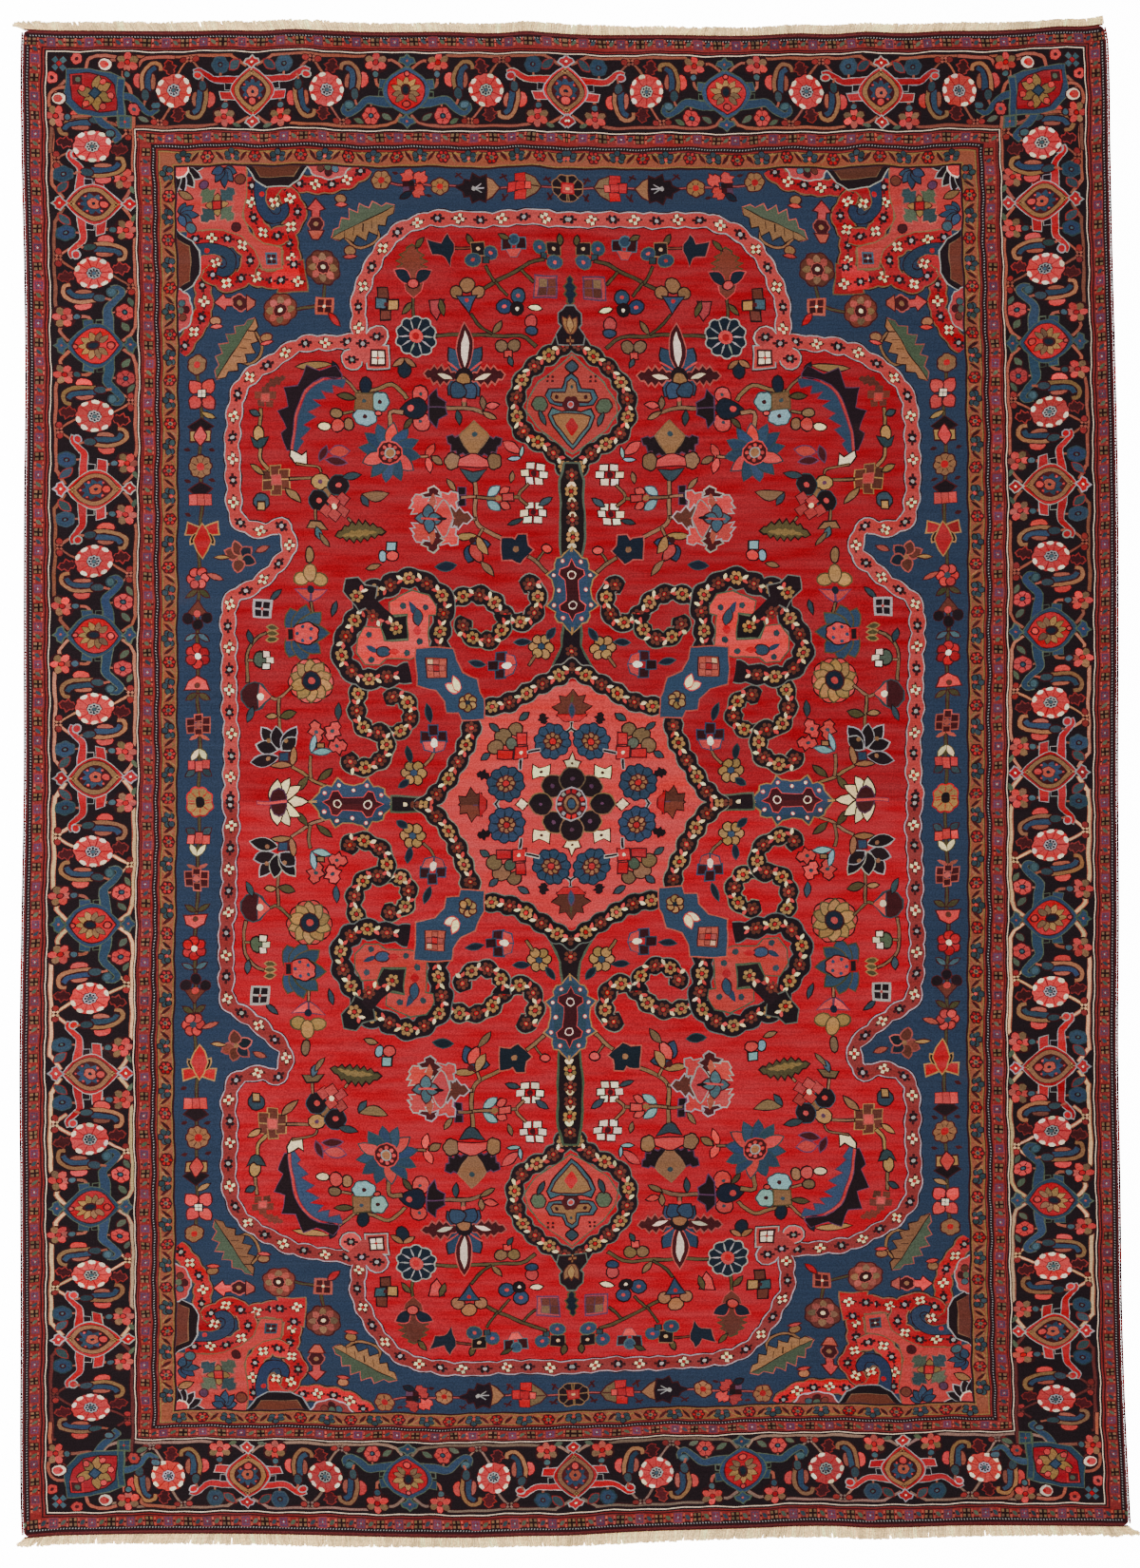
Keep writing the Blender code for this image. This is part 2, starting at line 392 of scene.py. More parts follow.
def saw_strip(points, width, teeth, depth, lean):
    """A band left of a path, widest in its middle, with teeth along its far edge that lean forwards."""
    curve = smooth_path(points, 8)
    run = np.concatenate(((0,), np.cumsum(np.linalg.norm(np.diff(curve, axis=0), axis=1))))
    at = np.linspace(0, run[-1], 2 * teeth + 1)
    base = np.column_stack([np.interp(at, run, curve[:, axis]) for axis in (0, 1)])
    aside = path_normals(base)
    tooth = np.arange(2 * teeth + 1) % 2
    fullness = np.sin(np.pi * np.clip(at / run[-1], 0.04, 0.96)) ** 0.5
    ahead = np.column_stack((aside[:, 1], -aside[:, 0]))
    edge = base + aside * ((width + depth * tooth) * fullness)[:, None] + ahead * (lean * tooth)[:, None]
    return np.concatenate((base, edge[::-1]))


def grow(points, width):
    """The same outline, moved outwards by a width."""
    after, before = np.roll(points, -1, 0), np.roll(points, 1, 0)
    area = np.sum(points[:, 0] * after[:, 1] - after[:, 0] * points[:, 1])
    turn_sign = 1.0 if area > 0 else -1.0

    def outward(step):
        """An edge's unit normal, away from the outline's inside."""
        step = step / np.maximum(np.linalg.norm(step, axis=1, keepdims=True), 1e-9)
        return turn_sign * np.column_stack((step[:, 1], -step[:, 0]))

    first, second = outward(points - before), outward(after - points)
    middle = first + second
    middle /= np.maximum(np.linalg.norm(middle, axis=1, keepdims=True), 1e-9)
    spread = np.maximum(np.sum(middle * first, axis=1), 0.6)
    return points + middle * (width / spread)[:, None]


def split_long(points, longest=2.2):
    """The same outline with its long edges cut into even steps."""
    after = np.roll(points, -1, 0)
    counts = np.maximum(1, np.ceil(np.linalg.norm(after - points, axis=1) / longest)).astype(int)
    start = np.repeat(points, counts, axis=0)
    step = np.repeat((after - points) / counts[:, None], counts, axis=0)
    place = np.arange(counts.sum()) - np.repeat(np.cumsum(counts) - counts, counts)
    return start + step * place[:, None]


def measured(points):
    """From places read on the real rug's upper left quarter to the chart, whose middle line is straight."""
    u, v = points[:, 0], points[:, 1]
    lean = np.interp(v, (100.0, 122.0, 160.0, 190.0), (0.0, 0.6, 1.4, 1.9))
    sag = 0.7 * np.clip((v - 110) / 60, 0, 1) * np.clip(1 - u / 100, 0, 1)
    lift = 1.3 * np.clip(1 - u / 36, 0, 1) * np.clip(1 - v / 36, 0, 1)
    return np.column_stack((u - lean * (1 - u / 132), v + sag + lift))


# ---------------------------------------------------------------- the drawing
class Chart:
    """One quarter's drawing: closed outlines with a wool each, later ones on top of earlier ones."""

    def __init__(self, seed):
        self.shapes = []
        self.chance = np.random.default_rng(seed)
        self.spot = None
        self.straighten = measured
        self.limit = None

    def place(self, x, y, turn=0.0, size=1.0, flip=1.0, stretch=1.0):
        """Draw the next motifs in their own frame: flip mirrors them, stretch lengthens them along y."""
        cosine, sine = heading(turn)

        def spot(points):
            """The motif's own points: stretched, then turned, then moved to x, y."""
            a, b = points[:, 0] * size * flip, points[:, 1] * size * stretch
            return np.column_stack((x + a * cosine - b * sine, y + a * sine + b * cosine))

        self.spot = spot

    def home(self):
        """Draw in the chart's own frame again."""
        self.spot = None

    def lay(self, points, wool, vary=True):
        """Add one outline: its long edges are cut, and its points fall on half knots."""
        points = split_long(np.asarray(points, float))
        if self.spot:
            points = self.spot(points)
        if self.straighten:
            points = self.straighten(points)
        if self.limit:
            points = np.minimum(points, self.limit)
        if vary:
            points = np.round(points / KNOT) * KNOT
            keep = np.any(np.abs(points - np.roll(points, 1, 0)) > 1e-6, axis=1)
            points = points[keep]
        shade = self.chance.normal(0, 1, 3) if vary else np.zeros(3)
        if len(points) > 2:
            self.shapes.append((points, wool, shade))

    def put(self, points, wool, line=None, width=LINE):
        """Add an outline with a thin line of another wool around it."""
        if line:
            self.lay(grow(split_long(np.asarray(points, float), 3.0), width), line)
        self.lay(points, wool)

    def disc(self, x, y, r, wool, line=None, ry=None, width=LINE):
        """An ellipse of one wool, with fewer corners where it is small."""
        self.put(disc(x, y, r, ry, steps=7 if r < 0.7 else 10), wool, line, width)

    def block(self, x, y, width, height, wool, line=None, turn=0.0, rim=LINE):
        """A rectangle of one wool."""
        self.put(block(x, y, width, height, turn), wool, line, rim)

    def leaf(self, x0, y0, x1, y1, width, wool, line="outline", bend=0.0, teeth=0):
        """A leaf between two points, bent or toothed if asked."""
        self.put(leaf(x0, y0, x1, y1, width, bend, teeth), wool, line, 0.28)

    def stem(self, points, width=0.7, wool="khaki", line="outline"):
        """A thin band along a path."""
        self.put(ribbon(points, width, 3), wool, line, 0.22)

    def ring(self, x, y, r, count, size, wool, line=None, turn=0.0):
        """Round petals about a middle, at even angles."""
        for index in range(count):
            angle = math.radians(turn + 360 * index / count)
            self.disc(x + r * math.cos(angle), y + r * math.sin(angle), size, wool, line)

    def star(self, x, y, r, count, wool, line, heart, core=None, turn=0.0, gap=True):
        """A rosette: a lobed disc, thin lines between its petals, and a middle in one or two wools."""
        self.put(scallop(x, y, r, count, depth=0.2, turn=turn), wool, line)
        if gap:
            for index in range(count):
                angle = turn + 360 * (index + 0.5) / count
                self.lay(petal(x, y, angle, 0.3 * r, 0.93 * r, 0.09 * r, 2), line or heart)
        self.disc(x, y, 0.36 * r, heart)
        if core:
            self.disc(x, y, 0.18 * r, core)

    def cross(self, x, y, size, wool, line, heart=None, turn=0.0):
        """A small four-petal flower."""
        if line:
            for angle in (0, 90):
                self.lay(block(x, y, size * 3.1, size * 1.5, turn + angle), line)
        for index in range(4):
            angle = math.radians(turn + 90 * index)
            self.lay(block(x + size * math.cos(angle), y + size * math.sin(angle), size * 0.95, size * 0.95,
                turn), wool)
        if heart:
            self.lay(block(x, y, size * 0.8, size * 0.8, turn), heart)

    def square_cross(self, x, y, size, wool, line, heart=None):
        """Four square petals at the corners of a square."""
        if line:
            self.lay(block(x, y, size * 3.0, size * 3.0), line)
        for dx in (-1, 1):
            for dy in (-1, 1):
                self.lay(block(x + dx * size * 0.62, y + dy * size * 0.62, size, size), wool)
        if heart:
            self.lay(block(x, y, size * 0.42, size * 0.42), heart)


# The field's own side and end, and how far outlines that cross the middle lines reach past them
FIELD_EDGE = (99.75, 160.7)
PAST_MIDDLE = -4


# ---------------------------------------------------------------- stripes and guards
def frame_step(chart, side, end, wool):
    """Everything inside these distances from the middle lines becomes this wool."""
    chart.lay([(PAST_MIDDLE, PAST_MIDDLE), (side, PAST_MIDDLE), (side, end), (PAST_MIDDLE, end)], wool,
        vary=False)


def frame_line(chart, side, end, width, wool):
    """A thin line all round, drawn over what crosses it."""
    half = width / 2
    outer_side, inner_side, outer_end, inner_end = side + half, side - half, end + half, end - half
    chart.lay([(PAST_MIDDLE, outer_end), (outer_side, outer_end), (outer_side, PAST_MIDDLE),
        (inner_side, PAST_MIDDLE), (inner_side, inner_end), (PAST_MIDDLE, inner_end)], wool, vary=False)


def stripes(chart):
    """The border's plain stripes, from the edge inwards."""
    chart.straighten = None
    for side, end, wool in (
        (139.0, 195.5, "edge"),
        (137.8, 194.25, "plum"),
        (137.35, 193.8, "navy"),
        (136.75, 193.2, "plum"),
        (136.45, 192.95, "guard_red"),
        (133.7, 190.9, "plum"),
        (133.3, 190.6, "guard_red"),
        (132.9, 190.35, "navy"),
        (132.5, 190.0, "white"),
        (132.15, 189.65, "navy"),
        (110.15, 170.25, "white"),
        (109.8, 169.9, "plum"),
        (109.4, 169.5, "guard_red"),
        (109.15, 169.25, "plum"),
        (108.95, 169.05, "guard_red"),
        (105.9, 166.6, "plum"),
        (105.55, 166.3, "navy"),
        (104.95, 165.7, "plum"),
        (104.5, 165.3, "guard_red"),
        (104.1, 164.9, "navy"),
        (103.95, 164.75, "gold"),
        (103.6, 164.4, "guard"),
        (100.55, 161.5, "gold"),
        (100.25, 161.2, "plum"),
        (*FIELD_EDGE, "ground_blue"),
    ):
        frame_step(chart, side, end, wool)
    for side, end in ((137.05, 193.5), (105.25, 166.0)):
        barber_stripe(chart, side, end)


STITCH_PITCH = 0.74


def barber_stripe(chart, side, end):
    """Slanting white stitches along a narrow dark stripe."""
    stitch = np.array([(-0.16, -0.1), (0.14, 0.0), (0.16, 0.3), (-0.14, 0.2)])
    for v in np.arange(0.2, end - 0.3, STITCH_PITCH):
        chart.lay(stitch + (side, v), "ice", False)
    for u in np.arange(0.2, side - 0.2, STITCH_PITCH):
        chart.lay(stitch[:, ::-1] + (u, end), "ice", False)


def guard_flower(chart, kind, x, y):
    """The red guards' small flowers, in turn: yellow, grey green, mauve, grey green."""
    if kind == 0:
        chart.lay(block(x, y, 2.2, 2.15), "outline")
        for dx in (-0.6, 0.6):
            for dy in (-0.58, 0.58):
                chart.lay(block(x + dx, y + dy, 0.7, 0.68), "khaki")
    elif kind == 2:
        chart.block(x, y, 1.8, 1.9, "mauve", "guard_pink")
        chart.cross(x, y, 0.5, "guard_pink", None, "ice", 45)
    else:
        for dx in (-0.95, 0.95):
            chart.lay(block(x + dx, y, 0.4, 1.9), "salmon")
            chart.lay(block(x + dx, y, 0.5, 0.4), "plum")
        chart.leaf(x - 0.7, y - 0.6, x + 0.7, y + 0.6, 0.9, "slate" if kind == 1 else "moss", None)


def red_guard(chart, side, end, first_u, pitch_u, first_v, pitch_v):
    """A row of small flowers along the end and the side, yellow ones at the first places."""
    for index in range(-1, 70):
        u = first_u - index * pitch_u / 4
        if u > -2:
            guard_flower(chart, index % 4, u, end)
    for index in range(-4, 90):
        v = first_v - index * pitch_v / 4
        if -2 < v < end - 1.8:
            guard_flower(chart, index % 4, side, v)


def horseshoe(chart, x, y, turn):
    """A blue horseshoe of five blobs with a coral dot, open towards -y before it is turned."""
    chart.place(x, y, turn)
    for angle in (-38, 15, 90, 165, 218):
        dx, dy = heading(angle)
        chart.disc(1.3 * dx, 1.0 * dy + 0.1, 0.7, "slate", "outline", width=0.2)
    chart.disc(0, -0.35, 0.42, "coral")
    chart.home()


def small_rosette(chart, x, y):
    """The inner guard's rosette: red petals round a blue dot."""
    chart.put(scallop(x, y, 1.75, 6, depth=0.2), "maroon")
    chart.ring(x, y, 1.05, 6, 0.38, "bright")
    chart.disc(x, y, 0.62, "ochre")
    chart.disc(x, y, 0.4, "slate")


def inner_guard(chart, side, end, horseshoes_u, horseshoes_v):
    """Horseshoes and rosettes in turn, with slanting leaves and a zigzag vine between them."""
    vine = np.arange(-3.0, end - 3.0, 2.95)
    sway = np.where(np.arange(len(vine)) % 2, 1.2, -1.2)
    chart.lay(ribbon(np.column_stack((side + sway, vine)), 0.4, 1), "gold")
    vine, sway = vine[vine < side - 2.0], sway[vine < side - 2.0]
    chart.lay(ribbon(np.column_stack((vine, end + sway)), 0.4, 1), "gold")
    for u in horseshoes_u:
        horseshoe(chart, u, end, 0)
        small_rosette(chart, u - 5.9, end)
        for offset, slant in ((2.9, 1), (8.9, -1)):
            chart.leaf(u - offset - 1.0, end + 1.3 * slant, u - offset + 1.0, end - 1.3 * slant, 0.85,
                "maroon", None)
            chart.leaf(u - offset - 0.2, end + 1.5 * slant, u - offset + 1.5, end - 0.6 * slant, 0.4, "ochre",
                None)
    for v in horseshoes_v:
        horseshoe(chart, side, v, -90)
        small_rosette(chart, side, v - 5.85)
        for offset, slant in ((2.9, 1), (8.9, -1)):
            chart.leaf(side + 1.3 * slant, v - offset - 1.0, side - 1.3 * slant, v - offset + 1.0, 0.85,
                "maroon", None)
            chart.leaf(side + 1.5 * slant, v - offset - 0.2, side - 0.6 * slant, v - offset + 1.5, 0.4,
                "ochre", None)


# ---------------------------------------------------------------- main border, drawn with y outwards
def border_leaf(chart, flip):
    """One of the two hooked leaves beside a border rosette: an ochre and a blue strip, buds and a cup."""
    def both(points):
        """The points, turned half round if flip is -1."""
        return [(x * flip, y * flip) for x, y in points]

    chart.disc(8.9 * flip, 2.6 * flip, 1.3, "coral", "plum", 1.9)
    chart.disc(5.2 * flip, 2.4 * flip, 0.8, "lattice", "plum", 1.9)
    chart.put(ribbon(both(((3.2, 5.2), (3.6, 6.6), (5.6, 7.0), (7.2, 5.5), (7.9, 2.9), (7.8, 0.0))), 0.95),
        "ochre", "plum", 0.25)
    chart.put(ribbon(both(((4.6, 5.9), (5.9, 4.9), (6.3, 2.8), (6.4, 0.1))), 1.15, taper=-0.2), "blue",
        "plum", 0.2)
    chart.disc(7.1 * flip, -1.0 * flip, 0.95, "slate", "plum", 1.4)
    chart.put(ribbon(both(((7.1, -2.3), (7.5, -3.6))), 0.6), "lattice")
    chart.leaf(0.6 * flip, 4.2 * flip, 1.3 * flip, 7.7 * flip, 2.8, "maroon", "guard_red", teeth=2)


def border_rosette(chart):
    """A coral rosette with white petal tips and a grey hatched middle."""
    for flip in (1, -1):
        border_leaf(chart, flip)
    chart.put(scallop(0, 0, 4.3, 10, depth=0.13, turn=18), "coral", "plum")
    for index in range(10):
        angle = math.radians(36 * index + 18)
        chart.lay(ribbon(((1.7 * math.cos(angle), 1.7 * math.sin(angle)),
            (3.9 * math.cos(angle), 3.9 * math.sin(angle))), 0.22, 1), "red")
        if index % 5 != 2:
            angle -= math.radians(18)
            chart.lay(disc(3.8 * math.cos(angle), 3.8 * math.sin(angle), 0.54, 0.9, 36 * index, 7), "white")
    chart.put(scallop(0, 0, 1.6, 8, depth=0.2), "ice", "plum", 0.15)
    chart.ring(0, 0, 0.98, 8, 0.3, "night")
    chart.disc(0, 0, 0.5, "steel", "maroon", width=0.15)


def sprig_flower(chart, x, y, up):
    """A six-petal flower, coral and ochre petals in turn, above a grey cup; up is the way it opens."""
    chart.lay(scallop(x, y, 3.2, 6, 2.75, depth=0.12, turn=30), "plum")
    for index in range(6):
        angle = math.radians(60 * index + 30)
        chart.lay(disc(x + 1.75 * math.cos(angle), y + 1.5 * math.sin(angle), 1.15, 0.9, 60 * index + 30, 7),
            "coral" if index % 2 else "khaki" if index < 3 else "rose")
    chart.disc(x, y, 0.62, "bright", "plum", width=0.2)
    chart.disc(x, y - 2.9 * up, 0.75, "steel", "plum", 0.75)


def finial(chart, y, wool, line, half):
    """A stepped diamond on a palmette's tip."""
    chart.put([(0, y - 1.5), (0.9, y - 0.6), (half, y - 0.2), (half - 0.4, y + 0.6), (0.6, y + 0.8),
        (0, y + 1.5), (-0.6, y + 0.8), (0.4 - half, y + 0.6), (-half, y - 0.2), (-0.9, y - 0.6)], wool, line)
    chart.disc(0, y, 0.32, "white" if wool == "bright" else "salmon")


def red_palmette(chart):
    """A red pointed palmette with an ochre ring, blue fan, and scrolled arms on its outer side."""
    for flip in (1, -1):
        chart.leaf(3.0 * flip, 7.6, 5.6 * flip, 5.2, 1.9, "slate", "guard_red")
        chart.put(ribbon(((8 * flip, 5.6), (8 * flip, 2.5)), 0.5), "lattice")
        chart.star(8.0 * flip, 6.2, 2.0, 6, "blue", "slate", "plum", "steel", gap=False)
        chart.put(ribbon(((7.1 * flip, -5.0), (6.6 * flip, -1.6), (5.4 * flip, -0.4)), 0.75), "lattice")
        sprig_flower(chart, 7.0 * flip, -7.0, -1)
        chart.leaf(2.6 * flip, -9.3, 4.9 * flip, -8.4, 1.1, "moss", None)
        arm = [(3.0 * flip, 2.6), (6.2 * flip, 2.5), (9.4 * flip, 2.4), (11.2 * flip, 3.6),
            (13.0 * flip, 4.9), (14.4 * flip, 4.6)]
        chart.put(ribbon(arm, 1.9, taper=0.55), "bright", "ice", 0.2)
        chart.disc(13.6 * flip, 3.7, 0.95, "bright", "ice", 0.75)
        chart.put([(3.5 * flip, -0.6), (8.4 * flip, -0.6), (7.9 * flip, -2.4), (4.0 * flip, -2.6)], "bright",
            "ice", 0.2)
        chart.block(6.0 * flip, 0.8, 1.7, 1.6, "navy", "ice", rim=0.15)
    chart.put(ogive(0, 0, 5.4, 6.5, 6.0, power=1.75), "bright", "ice", 0.22)
    chart.put(ogive(0, 0, 4.5, 5.5, 5.1, power=2.0), "ochre", "maroon", 0.2)
    chart.put(ogive(0, 0, 3.4, 4.2, 3.9, power=2.1), "maroon")
    for angle, far in ((90, 3.4), (55, 3.5), (125, 3.5), (20, 3.1), (160, 3.1), (-25, 2.7), (205, 2.7)):
        chart.put(petal(0, -0.4, angle, 0.5, far, 1.5), "blue")
    chart.put(scallop(0, -0.3, 1.45, 5, depth=0.15), "salmon", "maroon", 0.15)
    chart.disc(0, -0.3, 0.45, "night")
    chart.disc(0, -2.6, 0.85, "coral", "maroon", 0.9)
    for dx, dy in ((0.0, 3.0), (2.1, 1.4), (-2.1, 1.4), (1.7, -1.9), (-1.7, -1.9)):
        chart.disc(dx, dy, 0.3, "coral")
    for y in (4.7, -5.1):
        chart.cross(0, y, 0.42, "straw", "maroon")
    finial(chart, 7.3, "bright", "ice", 1.7)
    finial(chart, -7.9, "bright", "ice", 1.5)


def blue_palmette(chart):
    """A blue-framed palmette with an ochre tulip, and long arms on its inner side."""
    for flip in (1, -1):
        chart.leaf(3.8 * flip, -7.7, 6.2 * flip, -5.9, 1.5, "moss", "plum")
        chart.leaf(10.6 * flip, -8.4, 13.0 * flip, -7.2, 1.3, "moss", "plum")
        chart.put(ribbon(((8.9 * flip, -5.0), (8.7 * flip, -3.0)), 0.5), "lattice")
        chart.star(8.9 * flip, -6.5, 2.1, 6, "coral", "maroon", "night", "steel")
        chart.put(ribbon(((7.9 * flip, 4.2), (7.6 * flip, 1.4), (5.6 * flip, 0.6)), 0.75), "lattice")
        sprig_flower(chart, 7.9 * flip, 6.9, 1)
        arm = [(3.2 * flip, -3.1), (6.6 * flip, -3.0), (9.8 * flip, -2.6), (12.0 * flip, -4.4),
            (14.2 * flip, -5.9), (15.6 * flip, -5.2), (15.4 * flip, -3.8)]
        chart.put(ribbon(arm, 2.3, taper=0.6), "blue", "moss", 0.22)
        chart.disc(14.4 * flip, -3.7, 1.0, "steel", "slate", 0.8)
        chart.put([(3.4 * flip, 0.2), (6.9 * flip, 0.5), (6.7 * flip, 2.6), (4.6 * flip, 2.4)], "blue",
            "moss", 0.22)
        chart.block(6.0 * flip, -1.0, 1.6, 1.2, "navy", "moss", rim=0.2)
    chart.put(ogive(0, 0, 5.9, 6.4, 6.0, power=1.9), "blue", "moss", 0.22)
    chart.put(ogive(0, -0.1, 4.7, 5.1, 4.9, power=2.3), "bright", "maroon", 0.25)
    for angle in (90, 56, 124, 22, 158):
        chart.put(petal(0, -0.4, angle, 1.0, 4.0, 1.5), "straw", "maroon", 0.15)
    for angle in (-12, 192, -45, 225):
        chart.put(petal(0, -0.4, angle, 1.0, 3.6, 1.4), "khaki", "maroon", 0.15)
    chart.disc(0, 0.3, 1.35, "maroon", None, 1.6)
    chart.disc(0, 0.2, 0.8, "night", None, 1.1)
    chart.disc(0, -3.6, 0.8, "coral", "maroon", 0.7)
    chart.disc(0, 4.2, 0.5, "coral", "maroon")
    finial(chart, 7.3, "blue", "moss", 2.0)
    finial(chart, -7.9, "blue", "moss", 2.0)


def lattice_bars(chart, red_at, rosette_at, blue_at, wool):
    """The trellis between a red and a blue palmette: both bars, two nodes and their slanting links."""
    way = 1 if blue_at > red_at else -1
    bar, link = 0.72, 0.5
    for index, path in enumerate((
        [(red_at + way * 1.2, 6.3), (red_at + way * 4.8, 8.3), (red_at + way * 6.2, 8.6), (rosette_at, 8.6),
            (blue_at - way * 10.3, 8.6), (blue_at - way * 9.0, 7.6)],
        [(blue_at - way * 6.6, 6.6), (blue_at - way * 4.2, 7.6), (blue_at - way * 1.3, 5.6)],
        [(blue_at - way * 1.2, -6.2), (blue_at - way * 5.0, -8.9), (rosette_at, -9.0),
            (red_at + way * 9.6, -9.0), (red_at + way * 8.4, -8.0)],
        [(red_at + way * 6.2, -8.4), (red_at + way * 3.9, -8.4), (red_at + way * 1.0, -6.6)],
        [(rosette_at - way * 4.0, 8.2), (rosette_at - way * 1.1, 4.2)],
        [(rosette_at - way * 4.0, 8.2), (rosette_at - way * 6.6, 5.2)],
        [(rosette_at + way * 3.8, -8.4), (rosette_at + way * 1.1, -4.2)],
        [(rosette_at + way * 3.8, -8.4), (rosette_at + way * 6.4, -5.6)],
    )):
        chart.put(ribbon(path, bar if index < 4 else link, 3), wool, "lattice" if wool == "pale" else "plum",
            0.2)
    for x, y in ((rosette_at - way * 4.0, 7.7), (rosette_at + way * 3.8, -7.9)):
        for side in (-1.5, 1.5):
            chart.disc(x + side, y, 0.85, "guard_red", "plum", 0.7, width=0.2)
        chart.cross(x, y, 0.62, wool, "plum", None, 45)


BORDER_UNITS = {"red": red_palmette, "blue": blue_palmette}

# The border's middle line down the side and along the end; down the side the motifs are broader and shorter
SIDE_MIDDLE, END_MIDDLE = 121.1, 180.0
SIDE_BROADER, SIDE_SHORTER = 1.15, 0.93


def border_run(chart, along_side, row, lattice):
    """Palmettes and rosettes in turn along one border: row gives kind and place, lattice gives the trellis's
    wools, each up to a place."""
    def at(place):
        """Draw the next motif about a place on the border's middle line, its x along the border."""
        if along_side:
            chart.spot = lambda p: np.column_stack((SIDE_MIDDLE + p[:, 1] * SIDE_BROADER,
                place + p[:, 0] * SIDE_SHORTER))
        else:
            chart.spot = lambda p: np.column_stack((place + p[:, 0], END_MIDDLE + p[:, 1]))

    at(0)
    scale = SIDE_SHORTER if along_side else 1.0
    for before, here, after in zip(row, row[1:], row[2:]):
        if here[0] == "rosette":
            ends = {before[0]: before[1], after[0]: after[1]}
            blue_at = ends.get("blue", ends.get("corner"))
            wool = next(wool for wool, up_to in lattice if here[1] < up_to)
            lattice_bars(chart, ends["red"] / scale, here[1] / scale, blue_at / scale, wool)
    for kind, place in row:
        at(place)
        if kind in BORDER_UNITS:
            BORDER_UNITS[kind](chart)
    for before, here, after in zip(row, row[1:], row[2:]):
        if here[0] == "rosette":
            outer_way = 1 if (after[0] in ("blue", "corner")) == (after[1] > here[1]) else -1
            at(here[1])
            inner = chart.spot
            chart.spot = lambda p, inner=inner, way=outer_way: inner(p * (way, 1))
            border_rosette(chart)
    chart.home()


def border_edges(chart):
    """The white lines that close the border, over the palmettes' tips."""
    chart.straighten = None
    for side, end in ((132.35, 189.85), (110.0, 170.1)):
        frame_line(chart, side, end, 0.75, "navy")
        frame_line(chart, side, end, 0.22, "white")


def border_corner(chart):
    """The corner's slanting red leaf in a blue frame, with its buds, sprigs and square flowers."""
    chart.home()
    for path in (
        ((122.6, 185.0), (122.0, 187.6), (119.6, 188.5), (116.4, 188.6), (113.0, 187.8)),
        ((126.8, 180.9), (129.4, 180.7), (131.2, 179.0), (131.4, 176.0), (129.6, 174.2)),
        ((113.0, 185.5), (113.2, 181.0)),
        ((127.6, 173.4), (121.0, 173.6)),
        ((109.6, 185.9), (107.5, 188.4), (100.0, 188.6)),
        ((131.0, 171.6), (131.4, 168.0), (131.4, 164.0)),
    ):
        chart.put(ribbon(path, 0.8, 3), "lattice", "plum", 0.2)
    for points, width in (
        (((114.6, 178.4), (111.6, 178.4), (109.0, 176.8), (106.6, 174.3), (104.4, 175.4)), 1.8),
        (((119.6, 174.0), (118.4, 171.8), (116.4, 170.2), (114.4, 168.4), (115.6, 167.2)), 1.8),
    ):
        chart.put(ribbon(points, width, taper=0.5), "blue", "moss", 0.22)
    chart.put([(127.2, 185.6), (121.4, 185.2), (116.4, 184.2), (113.0, 182.9), (112.6, 173.4), (119.6, 173.4),
        (124.2, 174.2), (127.6, 177.6)], "blue", "moss", 0.22)
    chart.block(113.6, 177.0, 1.3, 11.6, "blue", "moss")
    chart.put([(126.3, 184.1), (121.4, 184.2), (117.6, 183.2), (115.2, 181.2), (114.5, 177.6), (114.7, 174.9),
        (118.8, 174.5), (122.8, 175.3), (125.5, 178.0), (126.2, 181.4)], "red", "plum", 0.25)
    chart.block(124.6, 182.7, 2.6, 2.4, "maroon", "bright")
    chart.disc(124.4, 182.7, 0.7, "moss")
    for angle in (100, 150, 205, 260, 310, 10):
        chart.put(petal(120.0, 179.2, angle, 0.9, 4.5, 2.3), "gold", "plum", 0.25)
    for x, y in ((123.4, 180.6), (118.0, 182.0), (115.9, 178.6), (118.0, 175.8), (122.2, 176.6)):
        chart.disc(x, y, 0.75, "coral", "plum", width=0.2)
    chart.block(120.1, 179.2, 1.9, 1.9, "blue", "night", 45)
    chart.square_cross(112.7, 171.9, 1.15, "blue", "moss", "bright")
    chart.star(110.3, 175.2, 1.5, 6, "coral", "plum", "slate", gap=False)
    chart.disc(104.9, 176.4, 1.1, "steel", "plum", 0.8)
    chart.disc(116.6, 169.0, 1.1, "steel", "plum", 0.8)
    chart.leaf(106.8, 172.2, 109.6, 173.4, 1.3, "moss", "plum")
    chart.cross(129.2, 186.8, 1.35, "steel", "plum", "bright", 45)
    for x, y in ((124.9, 188.2), (131.0, 183.3)):
        chart.star(x, y, 1.45, 5, "coral", "plum", "maroon", gap=False)
    for x, y in ((117.7, 186.5), (128.9, 178.0)):
        chart.disc(x, y, 1.75, "white", "plum", 1.5)
        chart.disc(x + 0.3, y, 1.2, "coral", None, 1.0)
        chart.disc(x - 0.5, y, 0.5, "bright")
    chart.place(112.1, 187.0)
    sprig_flower(chart, 0, 0, 1)
    chart.place(129.9, 173.5, -90)
    sprig_flower(chart, 0, 0, 1)
    chart.home()


# ---------------------------------------------------------------- garlands
def walk(path, pitch, first=0.5):
    """Even places along a smooth path, each with the path's direction in degrees."""
    curve = smooth_path(path, 8)
    steps = np.linalg.norm(np.diff(curve, axis=0), axis=1)
    run = np.concatenate(((0,), np.cumsum(steps)))
    at = np.arange(first * pitch, run[-1] - 0.25 * pitch, pitch)
    x, y = np.interp(at, run, curve[:, 0]), np.interp(at, run, curve[:, 1])
    ahead_x, ahead_y = np.interp(at + 0.5, run, curve[:, 0]), np.interp(at + 0.5, run, curve[:, 1])
    return list(zip(x, y, np.degrees(np.arctan2(ahead_y - y, ahead_x - x))))


